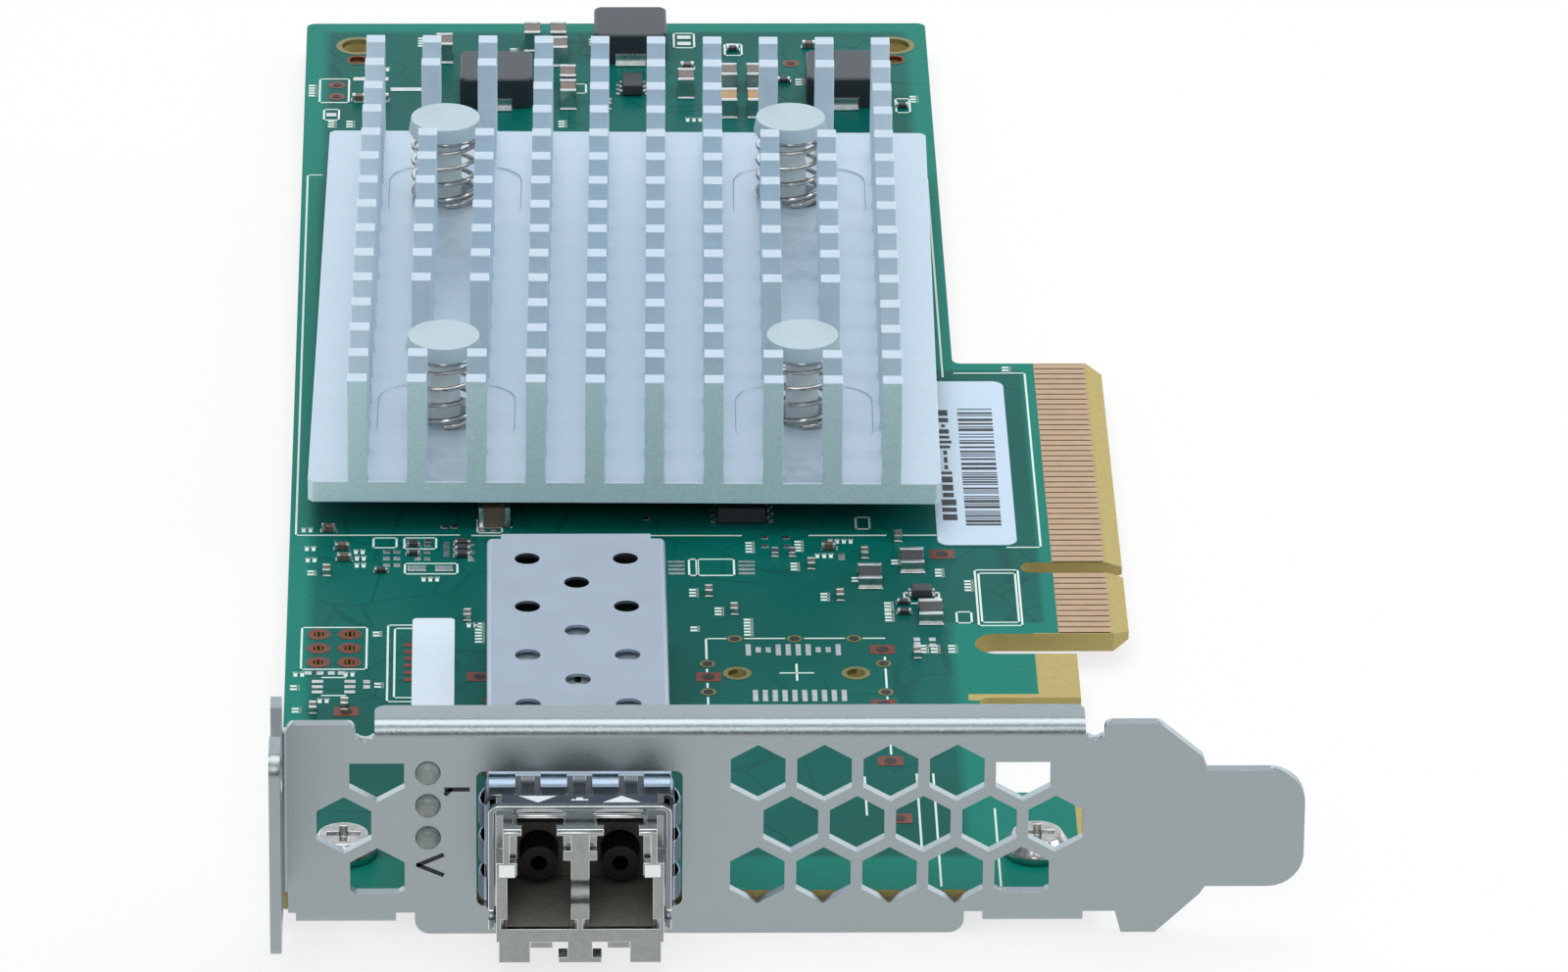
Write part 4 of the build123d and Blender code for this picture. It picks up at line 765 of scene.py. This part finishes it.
def printed_lines():
    """The outlines that the board carries round its parts."""
    lines = []
    for start, end in (
        ((-67.2, 6.2), (-53.9, 6.2)), ((-52.8, 6.1), (-30.9, 6.0)), ((-25.3, 6.0), (-19.1, 6.0)),
        ((-17.6, 6.0), (-14.2, 6.0)), ((-67.2, 6.2), (-67.2, 78.0)), ((-67.2, 78.0), (-66.0, 78.0)),
        ((-13.4, 36.5), (-13.4, 77.0)), ((-6.5, 3.7), (-6.5, 37.2)), ((-6.5, 3.7), (-9.2, 3.7)),
        ((-6.5, 37.2), (-12.4, 37.2)),
        ((-34.06, -12.95), (-32.5, -12.95)), ((-30.9, -12.95), (-27.8, -12.95)),
        ((-26.1, -12.95), (-23.0, -12.95)), ((-21.4, -12.95), (-19.75, -12.95)),
        ((-34.06, -12.95), (-34.06, -16.6)), ((-34.06, -18.5), (-34.06, -18.9)),
        ((-34.06, -21.0), (-34.06, -21.7)), ((-34.06, -23.5), (-34.06, -29.5)),
        ((-19.8, -16.4), (-19.8, -16.8)), ((-19.8, -18.5), (-19.8, -21.8)), ((-19.8, -23.5), (-19.8, -33.5)),
        ((-28.2, -19.15), (-25.6, -19.15)), ((-26.9, -17.6), (-26.9, -20.45)),
        ((-64.7, -19.8), (-62.9, -19.8)), ((-64.7, -23.0), (-62.9, -23.0)),
        ((-17.9, -37.0), (-17.9, -56.0)), ((-16.6, -37.0), (-16.6, -56.0)), ((-12.0, -43.0), (-12.0, -56.0)),
        ((-36.0, -46.0), (-36.0, -56.0)), ((-22.0, -37.5), (-22.0, -44.0)),
    ):
        lines.append(stroke(start, end))
    for box in (
        (-66.45, -61.24, -18.33, -10.8), (-59.55, -55.0, -24.1, -10.4), (-59.0, -55.0, -23.4, -11.0),
        (-58.27, -54.02, -1.02, 0.9), (-52.4, -50.4, 6.6, 7.6), (-35.22, -31.57, -1.4, 1.6),
        (-34.6, -34.5, -1.4, 1.6), (-58.35, -55.76, 3.62, 5.66), (-60.86, -58.98, 3.85, 5.67),
        (-12.05, -8.55, -10.69, -0.5), (-11.77, -8.8, -10.1, -1.1), (-21.46, -20.35, 7.2, 9.4),
        (-66.38, -63.82, 93.6, 98.75), (-65.95, -64.64, 89.8, 92.1), (-15.63, -14.42, 91.3, 94.3),
        (-30.5, -29.0, 103.9, 106.4), (-35.0, -33.2, 105.6, 108.8), (-44.0, -42.9, 95.6, 97.6),
        (-17.9, -15.1, -6.6, -4.6), (-13.8, -12.6, -10.2, -8.2),
    ):
        lines += frame_lines(*box)
    return finish_piece(joined(lines, "printed_outlines"), white_ink, smooth=False)


printed_lines()


# A printed mark: the size of its stem and of its foot, and how far the foot is shifted
UPRIGHT_TICK = ((0.75, 0.3, INK_TOP), (0.16, 0.42, INK_TOP), (0.26, 0))
LEVEL_TICK = ((0.3, 0.85, INK_TOP), (0.42, 0.16, INK_TOP), (0, 0.3))


def print_ticks(pitch=0.55):
    """Runs of short printed marks beside the parts, in place of their written names."""
    ticks = []
    for x, y, count, upright in (
        (-66.3, 7.2, 2, 0), (-66.0, 3.7, 2, 0), (-65.9, 1.6, 2, 0), (-65.8, -0.8, 2, 1),
        (-62.0, 3.1, 2, 0), (-61.9, 1.9, 2, 0), (-61.9, 0.6, 2, 0), (-56.2, -2.0, 3, 0),
        (-52.8, -10.4, 2, 0), (-60.4, -12.0, 2, 1),
        (-66.6, -19.2, 2, 0), (-62.6, -19.2, 2, 0), (-66.9, -21.6, 2, 1), (-60.2, -21.2, 2, 1),
        (-64.6, -23.9, 2, 0), (-66.7, -25.6, 2, 1), (-52.2, -11.8, 7, 1), (-34.9, -4.6, 3, 1),
        (-32.9, -8.0, 3, 1), (-24.3, -5.4, 3, 1), (-26.6, 0.2, 3, 1), (-24.2, 2.2, 3, 0),
        (-21.7, -2.2, 2, 1), (-18.4, 1.0, 2, 1), (-15.7, -14.9, 3, 1), (-16.6, -14.9, 3, 1),
        (-14.3, -14.9, 3, 1), (-19.2, -7.4, 4, 1), (-19.2, -8.9, 4, 1), (-12.6, -3.4, 4, 1),
        (-30.2, 3.8, 4, 1), (-26.2, 4.0, 4, 1), (-14.9, -1.0, 3, 1), (-30.6, -10.9, 6, 1),
        (-34.9, -11.2, 2, 1), (-22.8, 4.9, 4, 0), (-8.0, 38.0, 2, 1),
        (-61.0, 100.9, 3, 0), (-61.2, 104.9, 4, 1), (-55.6, 106.9, 4, 1), (-57.4, 106.9, 4, 1),
        (-51.4, 106.8, 3, 1), (-49.2, 104.8, 3, 1), (-42.2, 106.9, 3, 1), (-37.0, 106.0, 3, 1),
        (-41.6, 95.4, 3, 1), (-36.6, 95.6, 3, 1), (-31.9, 100.2, 3, 1), (-31.9, 92.0, 3, 1),
        (-26.6, 97.6, 3, 1), (-24.0, 98.0, 3, 1), (-14.0, 94.2, 3, 1), (-67.0, 96.2, 5, 1),
        (-65.2, 88.9, 3, 1), (-63.6, 88.9, 3, 1), (-45.0, 88.9, 3, 1), (-33.2, 89.8, 4, 0),
    ):
        stem, foot, shift = UPRIGHT_TICK if upright else LEVEL_TICK
        for i in range(count):
            step = (i - (count - 1) / 2) * pitch
            spot = (x, y + step) if upright else (x + step, y)
            ticks.append(block((*spot, INK_TOP / 2), stem))
            ticks.append(block((spot[0] + shift[0], spot[1] + shift[1], INK_TOP / 2), foot))
    return finish_piece(joined(ticks, "print_ticks"), white_ink, smooth=False)


print_ticks()


def solder_pads():
    """Tinned pads of the footprints that carry no part."""
    pads = []
    # The spare port's connector, in two rows of ten
    for i in range(10):
        x = -30.7 + i * 0.8
        tall = 0.9 if i in (1, 2, 7, 8) else 2.0
        pads.append(block((x, -15.0, 0.02), (0.42, tall, 0.04), 0.015))
        pads.append(block((-30.28 + i * 0.784, -23.2, 0.02), (0.42, 2.0, 0.04), 0.015))
    # A chip with four leads a side, and one with three
    for side_x in (-36.25, -30.55):
        for i in range(4):
            pads.append(block((side_x, -1.0 + i * 0.72, 0.02), (1.35, 0.36, 0.04), 0.015))
    for x in (-65.08, -62.5):
        for y in (-20.57, -21.5, -22.42):
            pads.append(block((x, y, 0.04), (0.9, 0.5, 0.08), 0.03))
    # Parts with two ends, from large to small
    for x in (-57.29, -55.1):
        pads.append(block((x, -0.08, 0.06), (1.5, 1.0, 0.12), 0.05))
    for x, y, wide in ((-61.9, 98.74, 3.1), (-58.4, 96.45, 3.5), (-61.85, 94.0, 3.1), (-65.3, 90.9, 0.9),
                       (-15.0, 92.9, 0.8), (-34.1, 107.9, 1.2), (-34.1, 106.5, 1.2), (-29.8, 105.9, 1.0)):
        pads.append(block((x, y, 0.03), (wide, 0.7, 0.06), 0.02))
    for x, y in (
        (-59.77, 3.04), (-58.93, 3.03), (-59.77, 1.8), (-58.93, 1.8), (-59.75, 0.58), (-58.91, 0.58),
        (-57.26, 3.03), (-56.49, 3.03), (-57.26, 1.75), (-56.49, 1.75), (-57.7, 5.1), (-56.45, 5.1),
        (-57.7, 4.4), (-56.45, 4.4), (-52.0, 7.17), (-51.1, 7.17), (-55.1, 7.7), (-54.3, 7.7),
        (-61.17, -20.6), (-61.17, -21.5), (-65.85, -19.05), (-64.9, -19.05), (-64.0, -19.05), (-63.2, -19.05),
        (-28.98, 5.6), (-28.98, 4.0), (-27.2, 5.6), (-27.2, 4.0), (-22.8, 2.3), (-22.8, 1.7),
        (-17.14, -14.0), (-17.14, -13.2), (-15.9, -13.2), (-15.9, -14.3), (-38.6, 9.2),
        (-52.9, 4.6), (-52.9, 3.0), (-52.9, 1.6),
    ):
        pads.append(block((x, y, 0.03), (0.55, 0.6, 0.06), 0.02))
    # A row of fine pads
    for i in range(7):
        pads.append(block((-54.9, 2.3 + i * 0.42, 0.02), (0.5, 0.22, 0.04), 0.01))
    return finish_piece(joined(pads, "bare_solder_pads"), tinned)


solder_pads()


def rings(name, surface, places, well=0.4):
    """Plated rings round drilled holes: each place is x, y, inner and outer radius.

    The plating also goes down into the hole."""
    parts = []
    for x, y, inner, outer in places:
        middle = (x * MM, y * MM, 0.03 * MM)
        deselect()
        bpy.ops.mesh.primitive_circle_add(vertices=32, radius=outer * MM, location=middle)
        ring = settle(bpy.context.object)
        bpy.ops.object.mode_set(mode="EDIT")
        bpy.ops.mesh.select_all(action="SELECT")
        bpy.ops.mesh.extrude_edges_move()
        bpy.ops.transform.resize(value=(inner / outer,) * 3, center_override=middle)
        bpy.ops.mesh.extrude_edges_move(TRANSFORM_OT_translate={"value": (0, 0, -well * MM)})
        bpy.ops.object.mode_set(mode="OBJECT")
        parts.append(ring)
    return finish_piece(joined(parts, name), surface)


header_holes = [(x, y) for x in (-65.1, -62.6) for y in (-12.05, -14.57, -17.09)]
jumper_holes = [(-64.88, 97.4), (-64.88, 94.9), (-24.7, 102.1)]
rings("copper_hole_rings", osp_copper,
      [(x, y, 0.48, 0.95) for x, y in header_holes] + [(x, y, 0.35, 0.75) for x, y in jumper_holes]
      + [(-63.1, 102.9, 0.78, 1.0), (-15.5, 102.9, 0.78, 1.0)])
rings("gold_hole_rings", gold_ring,
      [(-31.66, -19.2, 0.75, 1.15), (-22.18, -19.2, 0.75, 1.15),
       (-63.1, 106.06, 1.45, 1.95), (-15.5, 106.06, 1.45, 1.95)])


def dark_eyes(name, places):
    """The small plated holes of the spare footprints, seen as a ring round a dark eye: a black disc of
    painted shade over each hole.
    """
    eyes = [cylinder((x, y, 0.045), radius, 0.02, 24) for x, y, radius in places]
    # The black print stands in as painted shade
    return finish_piece(joined(eyes, name), pad_print)


small_holes = [(-31.75, -13.0), (-26.95, -13.0), (-22.18, -13.0), (-34.0, -17.5), (-34.0, -22.5),
               (-19.93, -17.5), (-19.9, -22.6)]
square_holes = [(-33.96, -19.84), (-19.96, -15.0), (-20.15, -24.7), (-19.89, -34.7), (-19.5, -44.6),
                (-14.6, 2.44), (-62.74, -25.84), (-52.2, -19.7)]
dark_eyes("plated_hole_eyes",
          [(x, y, 0.4) for x, y in small_holes] + [(x, y, 0.5) for x, y in square_holes]
          + [(x, y, 0.36) for x, y in jumper_holes])
rings("small_gold_rings", gold_ring, [(x, y, 0.4, 0.62) for x, y in small_holes])


def copper_squares():
    """Square copper pads round the mounting holes of the spare cage."""
    squares = [block((x, y, 0.02), (2.0, 1.6, 0.035), 0.01) for x, y in square_holes]
    return finish_piece(joined(squares, "square_copper_pads"), osp_copper)


copper_squares()


def header_pads():
    """A row of dark unsoldered pads that the blank label half covers."""
    pads = [block((-57.75, -14.0 - 1.24 * i, 0.03), (1.0, 0.7, 0.06), 0.02) for i in range(6)]
    return finish_piece(joined(pads, "connector_pads"), osp_copper)


header_pads()


def inductor_feet():
    """Tinned terminals in the pockets at the foot of each inductor, with their solder."""
    feet = []
    for inductor in INDUCTORS:
        (x, y, _), (_, deep, _) = islands(inductor)[0]
        for side in (-1, 1):
            feet.append(block((x, y + side * (deep / 2 - 0.1), 0.52), (2.7, 0.3, 0.9), 0.06, 2))
            feet.append(block((x, y + side * (deep / 2 + 0.25), 0.09), (2.9, 0.7, 0.18), 0.07, 2))
    return finish_piece(joined(feet, "inductor_terminals"), tinned)


inductor_feet()


# Labels and print

def bar_code():
    """A generic run of bars on the long label, of seeded widths."""
    chance = random.Random(7)
    bars = []
    y = 7.6
    while y < 30.0:
        thick = chance.choice((0.18, 0.18, 0.34, 0.5))
        bars.append(block((-11.0, y + thick / 2, 0.128), (2.9, thick, 0.016)))
        y += thick + chance.choice((0.2, 0.2, 0.36, 0.5))
    # The line of print beside the bars, as a row of plain dashes
    y = 8.6
    while y < 29.0:
        long = chance.choice((0.5, 0.8, 1.1))
        bars.append(block((-13.7, y + long / 2, 0.128), (chance.choice((0.3, 0.9, 1.2)), long, 0.016)))
        y += long + 0.45
    return finish_piece(joined(bars, "label_bars"), black_print, smooth=False)


bar_code()
refined("code_label", "code_label_paper", code_paper, 0.03, 1)
refined("blank_label", "blank_label_paper", label_paper, 0.03, 1)


def face_stroke(start, end, width=0.34):
    """A printed line on the bracket's outer face, between points given as x and z."""
    run = Vector((end[0] - start[0], end[1] - start[1]))
    piece = block((0, 0, 0), (run.length + width * 0.6, 0.02, width))
    turn = Matrix.Rotation(run.angle_signed(Vector((1, 0))), 4, "Y")
    middle = Vector(((start[0] + end[0]) / 2, BRACKET_FACE - 0.01, (start[1] + end[1]) / 2))
    piece.data.transform(Matrix.Translation(middle * MM) @ turn)
    return piece


def face_print():
    """The port's number and an arrow towards the lights, printed on the bracket."""
    strokes = [
        face_stroke((-54.75, 9.35), (-53.0, 9.35)), face_stroke((-54.75, 9.35), (-54.35, 8.95)),
        face_stroke((-56.9, 3.7), (-55.0, 2.85)), face_stroke((-56.9, 2.0), (-55.0, 2.85)),
    ]
    return finish_piece(joined(strokes, "face_print"), pad_print, smooth=False)


face_print()


def strip_marks(spread=3.2, width=2.9):
    """Two arrowheads and a dash with a bump on the dark strip over the ports."""
    low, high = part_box("port_mark_strip")
    top = high[2] / MM + 0.01
    middle = Vector(((low[0] + high[0]) / 2 / MM, (low[1] + high[1]) / 2 / MM, top))
    tall = (high[1] - low[1]) / MM - 0.5
    marks = []
    for side in (-1, 1):
        mark = cylinder((0, 0, 0), 1, 0.02, 3)
        # The cylinder's first corner points to the rear, so the left one is turned to point forwards
        mark.data.transform(
            Matrix.Translation((middle + Vector((side * spread, -side * tall / 6, 0))) * MM)
            @ Matrix.Rotation(pi if side < 0 else 0, 4, "Z")
            @ Matrix.Diagonal((width / sqrt(3), tall / 1.5, 1, 1)))
        marks.append(mark)
    # The dash, and the bump on it
    marks.append(block(middle - Vector((0, 0.12, 0)), (1.3, 0.2, 0.02)))
    marks.append(block(middle + Vector((0, 0, 0.005)), (0.5, 0.5, 0.03)))
    return finish_piece(joined(marks, "strip_marks"), mark_white, smooth=False)


strip_marks()


def module_label():
    """White label on the transceiver, seen through the cage's holes, with a few plain bars."""
    low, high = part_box("transceiver_cover")
    top = high[2] / MM
    middle = (low[0] + high[0]) / 2 / MM
    label = block((middle, -41.5, top + 0.03), (11.6, 27.0, 0.06), 0.02)
    finish_piece(label, label_paper)
    label.name = "module_label"
    bars = [block((middle - 3.6 + 0.9 * (i % 5), -30.5 - 1.9 * i, top + 0.065), (0.5, 1.1, 0.01))
            for i in range(12)]
    finish_piece(joined(bars, "module_label_bars"), black_print, smooth=False)


module_label()


def lens_domes(radius=0.86, rise=0.42, centre_y=-57.96, cut_y=-57.9):
    """Low domes on the light guides' front faces."""
    domes = []
    for height in LIGHT_GUIDE_HEIGHTS:
        deselect()
        bpy.ops.mesh.primitive_uv_sphere_add(segments=28, ring_count=14, radius=1)
        dome = bpy.context.object
        dome.scale = (radius * MM, rise * MM, radius * MM)
        dome.location = Vector((LIGHT_GUIDE_X, centre_y, height)) * MM
        domes.append(settle(dome))
        # The half inside the guide is cut away
        bpy.ops.object.mode_set(mode="EDIT")
        bpy.ops.mesh.select_all(action="SELECT")
        bpy.ops.mesh.bisect(
            plane_co=(0, cut_y * MM, 0), plane_no=(0, 1, 0), use_fill=True, clear_outer=True)
        bpy.ops.object.mode_set(mode="OBJECT")
    return finish_piece(joined(domes, "lens_domes"), clear_plastic)


lens_domes()


# Floor, lamps and camera

def studio(seen_glow=0.75, mirrored_glow=0.95):
    """A white sweep of floor that keeps a soft shadow, three soft lamps and an even sky."""
    low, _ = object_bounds()
    bpy.ops.mesh.primitive_plane_add(size=12, location=(0, 0, low[2] - 0.05 * MM))
    floor = bpy.context.object
    floor.name = "floor"
    paper = bpy.data.materials.new("white_paper_sweep")
    paper.use_nodes = True
    tree = paper.node_tree
    tree.nodes.clear()
    path = add(tree, "LightPath")
    # The camera sees mostly its white glow and the rest as lit paper, which keeps the shadow
    straight = combine(tree, "MAXIMUM", path.outputs["Is Camera Ray"], path.outputs["Is Transmission Ray"])
    share = combine(tree, "ADD", combine(tree, "MULTIPLY", straight, seen_glow),
                    combine(tree, "MULTIPLY", path.outputs["Is Glossy Ray"], mirrored_glow))
    lit = add(tree, "BsdfDiffuse", inputs={"Color": (0.9, 0.9, 0.9, 1)})
    glow = add(tree, "Emission", inputs={"Color": (1, 1, 1, 1), "Strength": 1.0})
    both = add(tree, "MixShader", inputs={0: share, 1: lit.outputs[0], 2: glow.outputs[0]})
    out = add(tree, "OutputMaterial", inputs={"Surface": both.outputs[0]})
    out.is_active_output = True
    floor.data.materials.append(paper)
    world = bpy.data.worlds.new("even_sky")
    scene.world = world
    world.use_nodes = True
    tree = world.node_tree
    sky = tree.nodes["Background"]
    sky.inputs["Color"].default_value = colour("E4EAF0")
    # A darker room low behind the camera, which bent and cast metal mirrors as fine dark lines
    direction = add(tree, "TexCoord").outputs["Generated"]
    way = add(tree, "SeparateXYZ", inputs={"Vector": direction})
    dark = combine(tree, "MULTIPLY", ramp(tree, way.outputs["Z"], 0.3, 0.45, 1, 0),
                   ramp(tree, way.outputs["Y"], -0.2, -0.6, 0, 1))
    # And a bright backdrop low behind the card, which the heatsink's base mirrors at its far end
    bright = combine(tree, "MULTIPLY", ramp(tree, way.outputs["Z"], 0.38, 0.46, 1, 0),
                     ramp(tree, way.outputs["Y"], 0.5, 0.8, 0, 1))
    strength = combine(tree, "SUBTRACT", 0.58, combine(tree, "MULTIPLY", dark, 0.5))
    link(tree, combine(tree, "ADD", strength, combine(tree, "MULTIPLY", bright, 1.6)), sky, "Strength")
    for name, place, size, power in (
        ("top_softbox", (-0.05, 0.15, 0.9), 0.9, 4.4),
        ("front_softbox", (-0.15, -0.95, 0.78), 0.6, 2.2),
        ("side_softbox", (0.8, -0.1, 0.5), 0.5, 1.6),
    ):
        lamp = bpy.data.lights.new(name, "AREA")
        lamp.shape = "DISK"
        lamp.size = size
        lamp.energy = power
        holder = bpy.data.objects.new(name, lamp)
        scene.collection.objects.link(holder)
        holder.location = place
        aim = Vector((-0.03, 0.02, 0)) - Vector(place)
        holder.rotation_euler = aim.to_track_quat("-Z", "Y").to_euler()


def camera():
    """The photograph's viewpoint: a long lens from above the bracket."""
    pitch, yaw, roll = radians(25.611), radians(1.480), radians(0.540)
    forward = Vector((sin(yaw) * cos(pitch), cos(yaw) * cos(pitch), -sin(pitch)))
    level = Vector((cos(yaw), -sin(yaw), 0))
    upright = level.cross(forward)
    right = level * cos(roll) + upright * sin(roll)
    up = upright * cos(roll) - level * sin(roll)
    lens = bpy.data.cameras.new("camera")
    lens.sensor_width = 36
    lens.lens = 279.3
    lens.clip_end = 20
    viewer = bpy.data.objects.new("camera", lens)
    scene.collection.objects.link(viewer)
    turn = Matrix((right, up, -forward)).transposed().to_4x4()
    viewer.matrix_world = Matrix.Translation(Vector((-50.5, -887.4, 432.9)) * MM) @ turn
    scene.camera = viewer


studio()
camera()
scene.view_settings.view_transform = "Standard"
